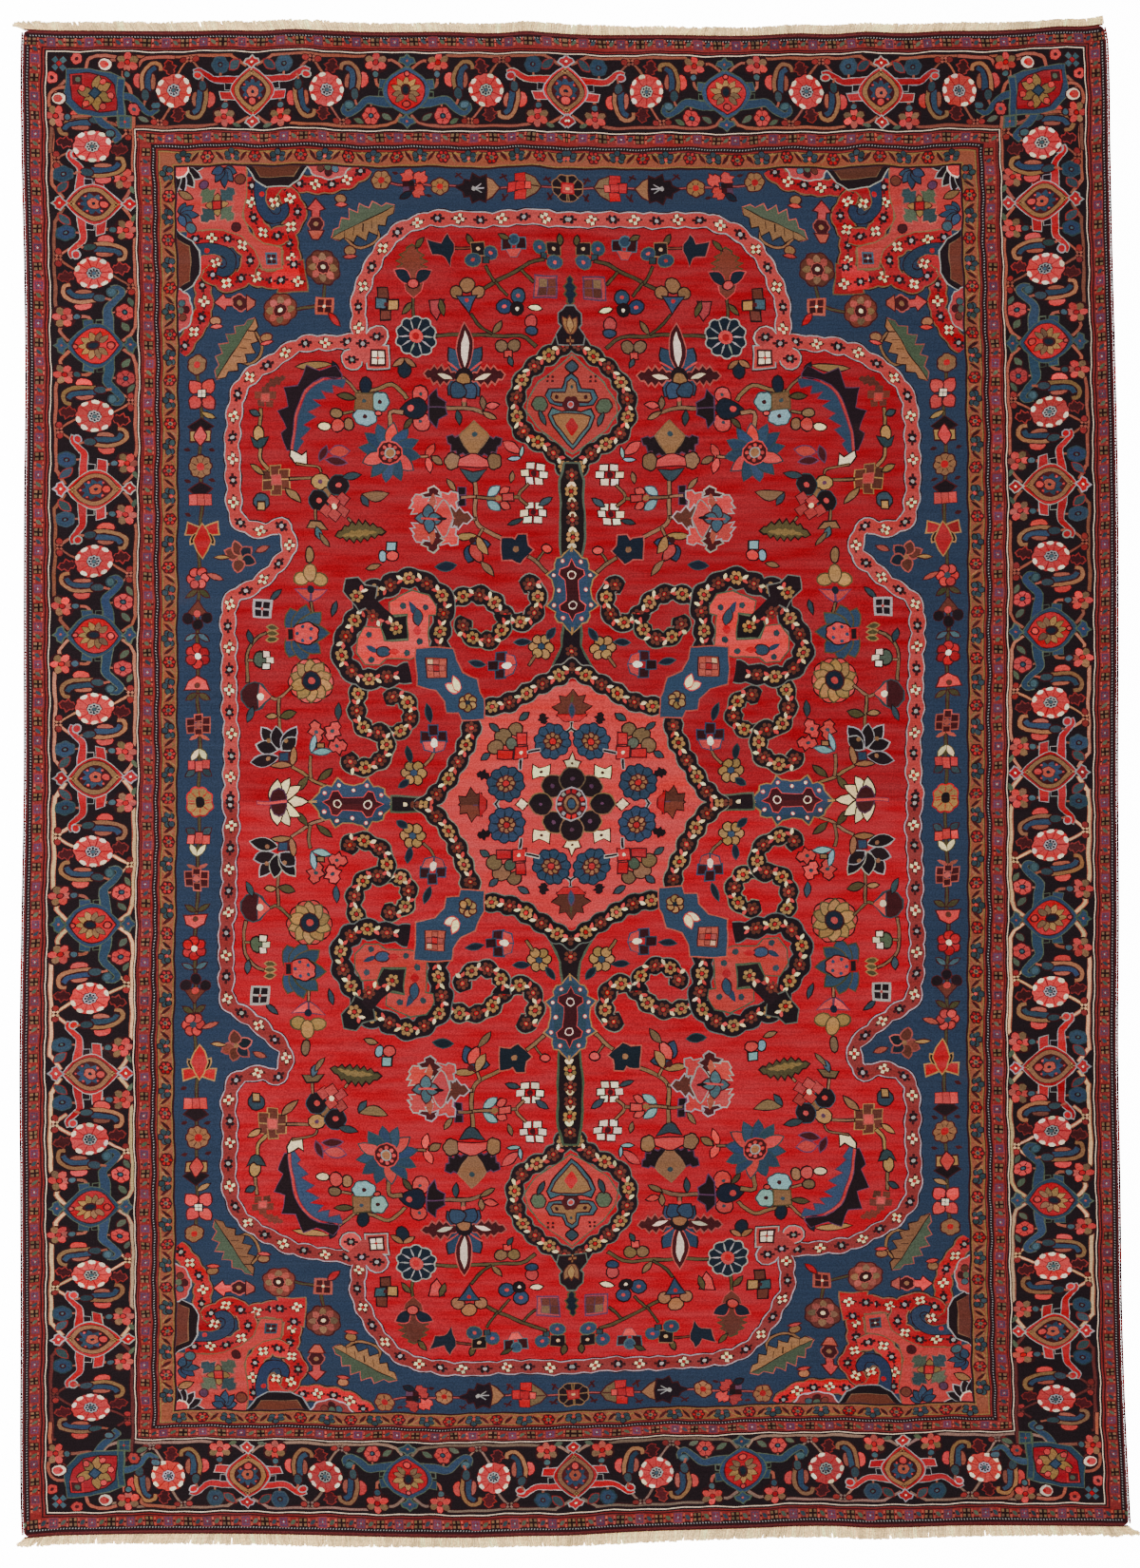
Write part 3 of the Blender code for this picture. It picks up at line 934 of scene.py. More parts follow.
def white_and_dark(chart, index, x, y, turn):
    """The scalloped band's flowers: white crosses and dark rosettes in turn."""
    if index % 2:
        chart.lay(block(x, y, 3.9, 0.5, turn), "maroon")
        for angle in (0, 90):
            chart.lay(block(x, y, 2.9, 1.3, turn + angle + 12), "maroon")
        chart.cross(x, y, 0.88, "cream", None, "bright", turn + 12)
    else:
        chart.lay(block(x, y, 3.7, 0.7, turn), "maroon")
        chart.cross(x, y, 0.86, "night", None, None, turn + 45)
        for angle in (0, 90):
            chart.lay(block(x, y, 2.1, 0.9, turn + angle + 45), "outline")
        chart.disc(x, y, 0.55, "ice")


def straw_and_coral(chart, index, x, y, turn):
    """The dark arabesques' flowers: straw and coral rings in turn, with a small coral sprig between."""
    if index % 2:
        chart.ring(x, y, 1.16, 6, 0.58, "straw", None, turn)
        chart.disc(x, y, 0.5, "bright", "outline", width=0.2)
    else:
        chart.ring(x, y, 1.14, 6, 0.56, "brown", None, turn)
        chart.disc(x, y, 0.62, "bright", "outline", width=0.15)
        chart.disc(x, y, 0.3, "straw")
    ahead = math.radians(turn)
    sx, sy = x + 2.2 * math.cos(ahead), y + 2.2 * math.sin(ahead)
    for side in (-1, 1):
        chart.leaf(sx - 0.6 * math.cos(ahead), sy - 0.6 * math.sin(ahead),
            sx + 1.3 * math.cos(ahead + 0.9 * side), sy + 1.3 * math.sin(ahead + 0.9 * side), 0.9,
            "coral" if side < 0 else "cream", None)


def garland(chart, path, width, ground, lines, flower, pitch, wave=0.0, first=0.5):
    """A band in a ground wool with one or two lines along both edges, and flowers strung along it."""
    for wool, extra in lines:
        chart.lay(ribbon(path, width + 2 * extra, 6, wave, pitch), wool)
    chart.lay(ribbon(path, width, 6, wave, pitch), ground)
    for index, (x, y, turn) in enumerate(walk(path, pitch, first)):
        flower(chart, index, x, y, turn)


PINK_BAND = ((-2, 147.7), (10, 147.7), (22, 147.7), (34, 147.6), (39.3, 146.6), (43.6, 144.9), (47, 141.7),
    (49.8, 137.5), (52.3, 132.5), (54.3, 127.6), (54.4, 122.4), (54.6, 117.4), (60.7, 116.3), (66.3, 115.8),
    (71.5, 114.3), (75.7, 111.7), (80, 109.0), (83.3, 105.6), (85.2, 102), (86, 97), (86.2, 91.3), (86, 85.8),
    (86, 80.5), (85.8, 75.2), (84.0, 70.6), (78.3, 68.8), (73.4, 69.4), (71.7, 63.5), (75.8, 58.8),
    (80.8, 54.6), (86.0, 51.2), (87, 45.7), (87, 39), (87, 33.2), (86.7, 27.5), (86.7, 22.2), (86.5, 16.5),
    (86.3, 10), (86.3, 4.8), (86.6, 0), (86.6, -5))
BAND_LINES = (("outline", 0.5), ("ice", 0.28))
SCROLL_LINES = (("outline", 0.55), ("khaki", 0.34))


def mirrored(path):
    """A path's twin across the slanting line through the field's corner."""
    return [(FIELD_EDGE[0] - FIELD_EDGE[1] + v, FIELD_EDGE[1] - FIELD_EDGE[0] + u) for u, v in path]


def corner_of_field(chart):
    """The blue ground's corner: a coral quarter with scrolls of red ribbon round it."""
    c = chart
    for path in (
        ((52, 161), (55, 158.2), (58, 156.6), (62.5, 155.8), (67, 155.9), (70.5, 156.2), (73.4, 154.8)),
        ((99.8, 114), (96.6, 118.3), (94.6, 121.3), (93.4, 124.4), (93.4, 127.8), (93.6, 131), (93.3, 134.6),
            (93, 139)),
        ((75.5, 157.0), (73.3, 155), (71.2, 152), (69.5, 148.5), (71.6, 144), (71.3, 139.3), (70.8, 135),
            (69.8, 131.4),
         (73.7, 131.6), (78.2, 132.4), (82.5, 133.1), (86.4, 131.0), (90, 132.3), (93.2, 134.4)),
        ((80.8, 157.6), (81, 150), (79.4, 145.6), (76.4, 142.9), (72, 143.6)),
        ((97.5, 142.8), (92, 142.5), (87.8, 142.4), (84.3, 141.1), (81.9, 138), (82.6, 133.6)),
    ):
        garland(c, path, 4.0, "bright", SCROLL_LINES, white_and_dark, 4.1, 0.5)
    c.put([(74.6, 128.6), (67.4, 128.8), (68.2, 136.5), (71.4, 135.6), (73.6, 133.2)], "bright", "khaki")
    c.lay([(76.0, 129.6), (71.0, 129.4), (69.0, 131.0), (69.6, 137.6), (73.0, 135.6), (76.5, 133.6)],
        "bright")
    for index, (x, y) in enumerate(((74.0, 131.6), (69.8, 131.2), (70.6, 135.4))):
        white_and_dark(c, index, x, y, 0)
    c.put([(82.6, 161.2), (100, 161.2), (100, 144.4), (94, 145.0), (88, 144.6), (83.6, 142.8), (80.3, 139.6),
        (78.8, 134.9), (73.8, 134.9), (73.8, 139.9), (78.4, 141.2), (81.8, 143.7), (83.4, 148), (82.4, 154)],
        "coral", "khaki")
    comma = ((78.6, 157.4), (78.9, 153.5), (78.3, 150.0), (76.4, 147.7), (73.9, 147.6), (72.7, 149.3),
        (73.0, 151.0))
    curl = ((71.6, 156.6), (74.2, 155.8), (76.0, 153.8), (75.8, 151.6), (74.9, 150.7))
    for over in (lambda path: path, mirrored):
        c.put(ribbon(over(comma), 3.0, taper=0.4), "ground_blue", "outline", 0.25)
        c.put(ribbon(over(curl), 2.6, wave=0.3, waves=3.0), "bright", "khaki", 0.25)
        (x, y), (dot_x, dot_y) = over(((75.3, 151.4), (78.4, 153.6)))
        white_and_dark(c, 1, x, y, 20)
        c.disc(dot_x, dot_y, 0.7, "bright")
    for angle in (45, 135, 225, 315):
        dx, dy = heading(angle)
        c.put(leaf(89.6 + 0.8 * dx, 151.0 + 0.8 * dy, 89.6 + 5.6 * dx, 151.0 + 5.6 * dy, 4.2, 0, 2),
            "moss" if angle % 180 == 45 else "slate", "rose")
    for angle in (0, 90, 180, 270):
        c.put(petal(89.6, 151.0, angle, 0.8, 2.9, 1.6), "gold", "maroon", 0.2)
    c.block(89.6, 151.0, 1.9, 1.9, "bright", "maroon")
    for x, y, middle in ((88.0, 160.0, -90), (99.0, 148.6, 180)):
        for angle in (-70, -35, 0, 35, 70):
            c.put(petal(x, y, middle + angle, 0.2, 4.6 - 0.02 * abs(angle), 1.9), "blue", "outline", 0.25)
    for angle in (180, 205, 230, 255, 275):
        c.put(petal(99.9, 160.9, angle, 1.2, 6.6, 2.7), "black", "ice", 0.25)
        c.put(petal(99.9, 160.9, angle + 12, 0.6, 4.2, 1.3), "moss", None)
    c.disc(99.6, 160.6, 2.6, "coral", "white")
    c.leaf(96.0, 152.8, 99.6, 154.4, 1.8, "ochre", "outline")
    for x, y, r, wool in ((83.9, 157.2, 1.2, "brown"), (96.4, 145.4, 1.2, "steel"),
            (93.2, 156.2, 1.0, "mauve"), (85, 145.2, 1.0, "maroon")):
        c.disc(x, y, r, wool, "maroon")
    c.square_cross(76.3, 137.4, 1.0, "maroon", "steel", "white")
    for place, turn in (((74.6, 161.0), 180), ((100.0, 136.4), 90)):
        c.place(*place, turn)
        c.put([(-8.2, -0.6), (-5.6, 3.8), (-2.8, 5.4), (2.8, 5.4), (5.6, 3.8), (8.2, -0.6)], "black", "ice")
        c.put([(-6.4, -0.6), (-4.4, 3.0), (4.4, 3.0), (6.4, -0.6)], "brown", "khaki", 0.2)
    for place, turn in (((61.5, 161.0), 180), ((100.0, 124.4), 90)):
        c.place(*place, turn)
        c.put(scallop(0, 0, 5.3, 8, 3.7, 0.14), "pink", "ice")
        for dx, dy, wool in ((-1.9, 1.2, "brown"), (1.8, 1.2, "steel"), (0, 2.2, "maroon"), (0, 0.8, "moss")):
            c.disc(dx, dy, 0.85, wool, "maroon", width=0.2)
    c.home()


def split_leaf(chart, x, y, turn, side):
    """A large leaf, half grey green and half ochre, both toothed, with a curled stalk on the ochre side."""
    c = chart
    c.place(x, y, turn, 1.0, 1.0, side)
    c.stem(((3.0, -1.0), (5.0, -4.4), (8.4, -5.4), (11.0, -4.6), (11.6, -2.6)), 0.55, "ochre", "outline")
    whole = leaf(0.2, 0.0, 18.4, 1.0, 7.6, 0, 5)
    c.put(whole, "moss", "rose", 0.22)
    c.put(np.concatenate((whole[:1], whole[len(whole) // 2:])), "ochre", "outline", 0.22)
    for along in (4.0, 6.5, 9.0, 11.5):
        c.lay(ribbon(((along, 0.2), (along - 1.0, -1.6)), 0.22, 1), "outline")
    c.home()


def ladder_flowers(chart):
    """The blue ground's long strings of flowers: along the top edge, and down the side."""
    c = chart
    c.stem(((-2, 155.6), (12, 155.5), (24, 155.6), (36, 155.9), (44, 156.4), (48, 157.4)), 0.34, "rose",
        "maroon")
    c.put(scallop(1.5, 155.5, 3.8, 8, 3.2, 0.14, 22.5), "black", "khaki", 0.3)
    for angle in (0, 45, 90, 135):
        c.lay(block(1.5, 155.5, 7.0 - 1.0 * (angle == 90), 0.3, angle), "khaki")
    c.block(1.5, 155.5, 2.2, 2.0, "coral", "bright")
    c.block(1.5, 155.5, 0.6, 0.6, "pale")
    c.put([(11.9, 158.4), (9.6, 157.4), (8.2, 155.6), (9.6, 153.8), (11.9, 152.4), (12.2, 155.5)], "khaki",
        "maroon")
    c.lay(block(10.2, 155.5, 3.4, 0.25), "maroon")
    for x, y, wide, high in ((13.4, 157.6, 2.6, 2.2), (13.2, 153.3, 2.6, 2.2), (15.3, 155.5, 2.2, 2.4),
            (13.4, 155.5, 2.0, 1.9)):
        c.block(x, y, wide, high, "bright", "maroon", rim=0.2)
    c.block(11.5, 155.5, 1.3, 1.6, "coral", "maroon", rim=0.2)
    for x, y, tilt in ((6.2, 157.4, 50), (5.8, 153.0, -50), (17.4, 158.0, 50), (17.0, 153.0, -40),
            (28.6, 158.4, 40)):
        c.block(x, y, 2.2, 0.5, "maroon", None, tilt)
        c.block(x + 0.3, y + 0.2, 0.5, 2.0, "maroon", None, tilt + 20)
    c.put([(22.2, 158.5), (20.4, 157.4), (18.6, 155.5), (20.4, 153.5), (22.2, 152.4), (21.8, 155.5)], "ochre",
        "maroon")
    c.put([(29.6, 155.5), (27.8, 156.3), (27.3, 157.5), (25.9, 157.2), (25.2, 159.1), (23.6, 158.2),
        (22.1, 158.7), (21.8, 155.5), (22.1, 152.2), (23.6, 152.8), (25.2, 151.9), (25.9, 153.8),
        (27.3, 153.5), (27.8, 154.7)], "black", "maroon")
    c.disc(25.2, 155.6, 0.6, "ice")
    for dx, dy in ((-2.4, 0), (-1.7, 1.2), (-1.7, -1.2)):
        c.lay(ribbon(((24.8, 155.6), (24.8 + dx, 155.6 + dy)), 0.24, 1), "ice")
    c.star(33.5, 155.6, 2.1, 6, "ochre", "maroon", "bright", None, 30)
    for x, y, turn in ((41.4, 158.3, 110), (38.2, 157.8, 35), (39.0, 154.5, -55)):
        dx, dy = heading(turn)
        c.put(leaf(x - 1.9 * dx, y - 1.9 * dy, x + 1.9 * dx, y + 1.9 * dy, 3.2, 0, 2), "coral", "maroon", 0.2)
    for x, y, wool in ((42.0, 156.6, "plum"), (40.5, 156.6, "black"), (42.0, 155.2, "mauve"),
            (40.5, 155.2, "plum")):
        c.block(x, y, 1.5, 1.4, wool)
    c.leaf(43.4, 153.0, 40.8, 154.2, 1.5, "night")
    c.star(48.2, 157.6, 2.4, 6, "ochre", "maroon", "bright", None)
    for x, y in ((36.5, 153.2), (44.5, 159.0)):
        c.leaf(x - 0.9, y, x + 0.9, y + 0.3, 0.8, "maroon", None)
    # down the side
    c.stem(((95.4, 113), (94.8, 106), (94.2, 98), (94.4, 88), (94.0, 74), (94.6, 60), (94.8, 46), (94.8, 32),
        (94.5, 18), (94.4, 6), (94.4, -6)), 0.6, "olive", "maroon")
    c.star(95.2, 110.7, 2.3, 6, "ochre", "maroon", "bright", None, 30, gap=False)
    for angle in (50, 130, 230, 310):
        c.put(petal(94.0, 103.2, angle, 0.9, 4.6, 3.1, 4), "coral", "maroon")
    c.square_cross(94.0, 103.4, 0.75, "white", "black", "steel")
    c.leaf(94.2, 98.8, 90.8, 97.2, 1.1, "straw")
    c.put([(91.4, 95.0), (94.4, 97.2), (97.4, 95.0), (96.2, 94.2), (92.6, 94.2)], "black", "maroon")
    c.block(94.4, 92.7, 5.2, 2.5, "straw", "maroon")
    c.put(ogive(94.4, 92.6, 1.6, 2.2, 2.6), "coral", "maroon")
    for x, y in ((97.6, 89.2), (91.4, 89.2), (97.4, 81.4), (91.5, 81.2), (97.4, 72.6)):
        c.leaf(x - 0.9, y - 0.2, x + 0.9, y + 0.3, 0.9, "maroon", None)
    c.star(94.1, 85.0, 2.9, 8, "ochre", "maroon", "bright", None)
    c.put([(91.6, 79.2), (94.4, 80.8), (97.0, 79.2), (95.6, 77.6), (93.2, 77.6)], "black", "maroon")
    for dx in (-1.9, 0, 1.9):
        c.block(94.4 + dx, 76.4, 1.8, 2.6, "coral", "maroon", rim=0.2)
    for flip in (1, -1):
        c.put([(93.6 + 0.6 * flip, 69.2), (93.6 + 3.8 * flip, 70.6), (93.6 + 4.2 * flip, 67.8),
            (93.6 + 1.5 * flip, 67.6)], "bright", "straw")
        c.leaf(93.6 + 0.9 * flip, 68.0, 93.6 + 2.8 * flip, 65.2, 1.7, "black", "straw")
    c.put(ogive(93.6, 66.0, 2.0, 4.2, 4.0), "bright", "straw")
    c.ring(94.9, 56.6, 1.75, 6, 1.05, "coral", "maroon")
    c.disc(94.9, 56.6, 0.8, "slate")
    for x, y in ((94.9, 53.0), (94.9, 42.0), (94.6, 27.0)):
        for flip in (1, -1):
            c.leaf(x + 0.3 * flip, y + 0.6, x + 2.9 * flip, y - 1.0, 1.2, "steel" if y == 42.0 else "olive",
                "maroon")
    c.put([(94.8, 51.0), (97.4, 47.6), (92.2, 47.6)], "brown", "maroon")
    c.disc(94.8, 47.9, 0.9, "coral")
    for dx, dy in ((2.5, 46.6), (0, 45.1), (-2.5, 46.6)):
        c.disc(94.8 + dx, dy, 1.3, "black", "maroon", width=0.2)
    c.ring(95.0, 37.1, 1.9, 6, 1.15, "bright", "maroon", 30)
    c.disc(95.0, 37.1, 0.8, "white")
    c.put([(95.0, 32.0), (97.2, 30.8), (98.0, 28.6), (92.0, 28.6), (92.8, 30.8)], "coral", "maroon")
    c.disc(95.0, 29.6, 0.8, "brown")
    for dx, dy in ((0, 1.9), (1.9, 1.0), (1.9, -1.0), (0, -1.9), (-1.9, -1.0), (-1.9, 1.0)):
        c.block(94.7 + dx, 19.4 + dy, 1.7, 1.6, "maroon", "rose", rim=0.25)
    c.disc(94.7, 19.4, 0.8, "rose")
    for flip in (1, -1):
        c.leaf(94.6, 16.9, 94.6 + 2.7 * flip, 15.6, 1.0, "salmon", None)
        c.leaf(94.5, 13.4, 94.5 + 1.9 * flip, 10.6, 1.4, "cream", "olive")
        c.leaf(94.5 + 0.9 * flip, 8.2, 94.5 + 3.2 * flip, 6.6, 1.7, "slate", "maroon")
        c.block(94.5 + 1.9 * flip, 9.3, 1.8, 2.1, "coral", "maroon", rim=0.2)
    c.block(94.5, 8.9, 1.8, 2.6, "coral", "maroon", rim=0.2)
    c.star(94.3, 0.3, 3.3, 8, "straw", "bright", "black", None, 22.5)
    # scattered over the blue
    for x, y, r in ((63.2, 135.0, 4.3), (74.0, 124.2, 4.1)):
        c.stem(((x - 0.6, y - 3), (63.6, 126.5)) if x < 70 else ((x - 3, y - 0.5), (64.5, 125.5)), 0.5,
            "olive", "maroon")
        c.put(scallop(x, y, r, 8, depth=0.16, turn=22.5), "brown", "maroon")
        for angle in range(0, 360, 45):
            c.put(petal(x, y, angle, 1.5, r - 0.5, 1.9, 3), "rose" if angle % 90 else "khaki")
        c.put(scallop(x, y, 1.6, 8, depth=0.15), "maroon", "rose", 0.2)
        c.disc(x, y, 0.6, "cream")
    c.square_cross(63.0, 125.4, 1.5, "maroon", "salmon", "cream")
    c.leaf(61.8, 123.6, 59.0, 120.8, 1.5, "bright", "maroon")
    for x, y, turn in ((65.0, 148.2, 0), (86.6, 126.3, -90)):
        c.place(x, y, turn)
        c.put([(0, 4.0), (2.0, 1.6), (0.9, 1.2), (0.9, -0.4), (-0.9, -0.4), (-0.9, 1.2), (-2.0, 1.6)],
            "coral", "maroon")
        c.star(0, -2.4, 1.9, 6, "maroon", "rose", "ochre", None, gap=False)
        c.put([(-1.8, -4.2), (1.8, -4.2), (0.6, -6.2), (-0.6, -6.2)], "salmon", "maroon")
    c.home()
    split_leaf(c, 61.2, 142.4, 154.6, -1)
    split_leaf(c, 80.4, 122.6, -61.6, 1)
    for x, y in ((56.4, 139.6), (77.8, 117.6), (58.4, 152.2), (90.6, 121.4)):
        c.disc(x, y, 1.3, "ochre", "maroon", 1.0)
        c.leaf(x - 1.6, y - 1.2, x + 1.4, y - 1.6, 0.9, "coral", "maroon")
    for angle, wool in ((20, "brown"), (75, "brown"), (140, "night"), (200, "night"), (280, "brown")):
        c.put(petal(84.2, 62.0, angle, 0.6, 3.9, 2.6), wool, "rose")
    c.disc(84.2, 62.0, 0.7, "ochre")
    c.leaf(79.9, 63.4, 76.8, 64.6, 1.3, "salmon", "maroon")
    c.leaf(90.5, 61.6, 86.8, 61.8, 0.8, "straw", "maroon")
    c.leaf(92.6, 57.4, 88.8, 56.2, 1.2, "salmon", "maroon")


def red_field(chart):
    """Everything on the red ground, from its top down."""
    c = chart
    # navy thistle and small flowers under the band
    c.stem(((30.2, 140.4), (25.6, 140.6)), 0.45, "brown")
    c.put([(30.1, 141.4), (31.1, 142.6), (31.6, 143.9), (32.5, 142.8), (33.0, 141.4), (34.2, 141.6),
        (36.6, 142.4), (35.4, 138.7), (33.0, 138.5), (32.3, 138.0), (31.2, 136.0), (30.8, 138.0),
        (30.1, 139.7)], "night", "rose", 0.2)
    c.leaf(25.4, 141.2, 26.4, 143.9, 1.3, "olive")
    c.block(24.1, 140.2, 3.3, 3.3, "black", "khaki", rim=0.2)
    c.disc(25.4, 137.4, 2.0, "blue", "moss", 1.7, width=0.22)
    c.disc(20.9, 139.2, 1.7, "blue", "moss", width=0.22)
    c.block(22.2, 137.4, 1.4, 1.4, "slate", "outline", rim=0.2)
    for dx in (-1.8, 1.8):
        c.block(15.0 + dx, 141.2, 2.1, 2.3, "plum", "steel", rim=0.3)
    c.disc(15.0, 142.2, 1.2, "blue", "steel")
    c.put([(13.2, 139.8), (16.8, 139.8), (15.8, 138.0), (14.2, 138.0)], "coral", "steel", 0.22)
    c.leaf(16.2, 142.6, 18.8, 143.8, 1.1, "olive")
    c.block(4.7, 140.2, 3.4, 2.9, "black", "khaki", rim=0.2)
    c.leaf(2.9, 141.2, 3.3, 143.8, 1.3, "olive")
    c.disc(8.4, 140.4, 1.7, "blue", "moss", width=0.22)
    c.disc(4.7, 136.9, 2.0, "blue", "moss", 1.7, width=0.22)
    c.block(7.5, 138.2, 1.3, 1.3, "slate", "outline", rim=0.2)
    for x, y in ((24.1, 140.2), (4.7, 140.2)):
        c.disc(x, y, 0.5, "pale")
    for x, y in ((25.4, 137.4), (20.9, 139.2), (8.4, 140.4), (4.7, 136.9)):
        c.disc(x, y, 0.5, "coral")
    c.stem(((22.5, 130.0), (18.6, 132.4), (15, 134.3), (11, 136.4), (7.5, 137.3)), 0.7, "olive")
    for path in (((19.6, 131.8), (21.0, 133.8), (22.2, 136.0)), ((13.2, 134.8), (11.8, 133.2), (10.0, 131.6)),
            ((19.4, 131.8), (18, 130.2), (16.5, 128.6))):
        c.stem(path, 0.5, "olive")
    c.block(6.9, 130.5, 5.3, 5.2, "pink", "mauve")
    for dx, dy, wool in ((0.9, 1.0, "khaki"), (-1.3, 1.0, "brown"), (0.9, -1.2, "brown"),
            (-1.3, -1.2, "brown")):
        c.block(6.7 + dx, 130.5 + dy, 2.0, 2.0, wool, "mauve", rim=0.2)
    c.put(leaf(0.6, 126.0, 0.6, 133.4, 3.0, 0, 3), "night", "olive")
    for x, y, r in ((26.7, 131.0, 1.8), (29.4, 129.2, 1.5), (23.8, 129.2, 1.5)):
        c.disc(x, y, r, "ochre", "outline")
    c.put([(24.2, 128.2), (29.2, 128.2), (27.8, 126.2), (26.2, 124.0), (25.4, 126.4)], "blue", "outline")
    c.disc(26.7, 127.2, 0.6, "bright")
    for x, y in ((13.7, 128.3), (17.2, 125.8)):
        c.disc(x, y, 1.8, "blue", "outline")
        c.disc(x, y, 0.55, "coral")
    c.disc(14.0, 125.2, 1.5, "black", "outline")
    c.disc(14.0, 125.2, 0.5, "white")
    c.leaf(11.2, 125.4, 7.8, 124.8, 1.4, "cream")
    # brown palmette over the navy rosette
    c.stem(((40.4, 129), (40.6, 125), (39.8, 121)), 0.6, "olive")
    c.put([(40.4, 127.8), (42.2, 129.6), (42.9, 132.4), (40.6, 134.0), (38.0, 132.4), (38.6, 129.6)], "brown",
        "pink", 0.22)
    c.put(leaf(40.6, 131.6, 40.6, 140.8, 6.4, 0, 5), "brown", "olive")
    for flip in (1, -1):
        c.leaf(40.5 + 0.9 * flip, 131.4, 40.5 + 4.6 * flip, 134.6, 2.8, "night", "pink", 0.6 * flip)
    c.disc(40.6, 131.4, 1.3, "coral", "outline", 1.1)
    c.leaf(39.6, 140.2, 37.6, 142.6, 1.2, "olive")
    c.star(39.6, 118.2, 5.1, 10, "night", "ice", "coral", "bright", 18)
    c.leaf(41.0, 126.6, 43.2, 123.8, 1.2, "olive")
    c.put([(32.8, 127.2), (36.2, 127.2), (35.6, 124.2), (34.4, 122.6), (33.4, 124.2)], "pink", "outline")
    c.leaf(33.6, 127.4, 32.4, 123.6, 1.3, "olive")
    for dx, dy, wool in ((-1.6, 0, "straw"), (1.4, 0.4, "steel"), (0.2, -2.6, "brown"), (0.9, 2.9, "brown")):
        c.block(47.3 + dx, 126 + dy, 2.3, 2.3, wool, "outline")
    c.block(47.4, 126.1, 1.0, 1.0, "maroon")
    # stems and the big palmette between the finial and the navy rosette
    c.stem(((34.4, 118.5), (27, 118.6), (20, 118.4), (13.4, 118.3), (9.4, 115.6)), 0.7, "olive")
    c.stem(((20.5, 118.8), (23.4, 120.6), (25.7, 123.6)), 0.5, "olive")
    c.leaf(20.2, 119.0, 18.2, 122.0, 1.3, "khaki")
    c.disc(10.5, 121.6, 1.4, "pink", "outline", 1.7)
    c.disc(10.5, 119.4, 1.5, "blue", "outline", 1.0)
    for x, y in ((18.1, 115.9), (14.9, 115.9)):
        c.disc(x, y, 1.5, "khaki", "outline")
    c.block(16.4, 113.7, 1.7, 1.6, "coral", "outline")
    c.leaf(16.2, 113.0, 15.2, 110.8, 1.1, "slate")
    for flip in (1, -1):
        for turn, near, far, width, wool in ((58, 0, 7.6, 4.3, "blue"), (-55, 0, 6.6, 4.4, "blue")):
            c.put(petal(27.4, 108.8, 90 - (90 - turn) * flip, near, far, width), wool, "outline")
        c.put(leaf(27.4 + 1.6 * flip, 108.2, 27.4 + 10.4 * flip, 108.6, 4.4, 0, 4), "maroon", "rose")
        c.leaf(27.4 + 2.8 * flip, 107.6, 27.4 + 6.8 * flip, 108.8, 1.3, "white", None)
        c.stem(((27.4 + 1.5 * flip, 109.8), (27.4 + 4.6 * flip, 112.0)), 0.4, "coral", None)
    c.leaf(27.4, 109.0, 27.4, 121.4, 4.0, "maroon", "rose")
    c.leaf(27.4, 110.4, 27.4, 119.6, 2.0, "white", None)
    c.disc(27.4, 108.2, 2.3, "black")
    c.put(scallop(27.4, 107.4, 1.7, 6), "ochre")
    for angle in (-125, -55):
        c.put(petal(27.4, 106.8, angle, 0.6, 4.8, 4.0), "blue", "outline")
    c.stem(((27.4, 102.8), (27.3, 100.4)), 0.9, "khaki")
    c.disc(27.4, 102.4, 0.6, "coral")
    c.stem(((32.4, 100.1), (27.3, 100.2), (24.0, 99.8), (20.4, 98.4)), 0.8, "khaki")
    c.leaf(22.6, 100.2, 22.8, 103.2, 1.4, "khaki")
    c.leaf(22.0, 101.0, 18.6, 101.2, 1.5, "coral")
    c.leaf(22.8, 99.6, 19.4, 97.6, 1.2, "khaki")
    c.leaf(29.0, 99.6, 28.8, 96.0, 1.4, "slate")
    c.disc(38.5, 103.4, 2.0, "coral", "outline", 2.1)
    c.disc(38.0, 96.4, 2.1, "coral", "outline", 2.2)
    for y in (103.6, 96.6):
        c.disc(38.3, y, 0.5, "slate")
    c.put(petal(36.6, 100.0, 0, 0, 6.6, 5.0), "night", "outline")
    c.disc(40.8, 100.2, 0.8, "coral")
    for dy in (2.4, -2.4):
        c.put([(36.2, 100), (32.2, 100), (31.9, 100 + 0.6 * dy), (34.0, 100 + 1.1 * dy), (34.4, 100 + 2 * dy),
            (36.0, 100 + 1.2 * dy)], "black", "mauve")
    c.leaf(40.4, 97.6, 42.6, 95.2, 1.3, "olive")
    c.stem(((54.4, 104.0), (50, 104.8), (46, 106.2), (43.4, 104.2), (42.0, 102.4)), 0.8, "khaki")
    c.stem(((42.6, 99.0), (46, 99.2), (46.0, 95.6)), 0.9, "khaki")
    c.disc(42.7, 109.8, 1.5, "night", "outline", 1.9)
    for x1 in (45.6, 40.0):
        c.leaf(42.6, 112.4, x1, 110.6, 1.3, "ochre")
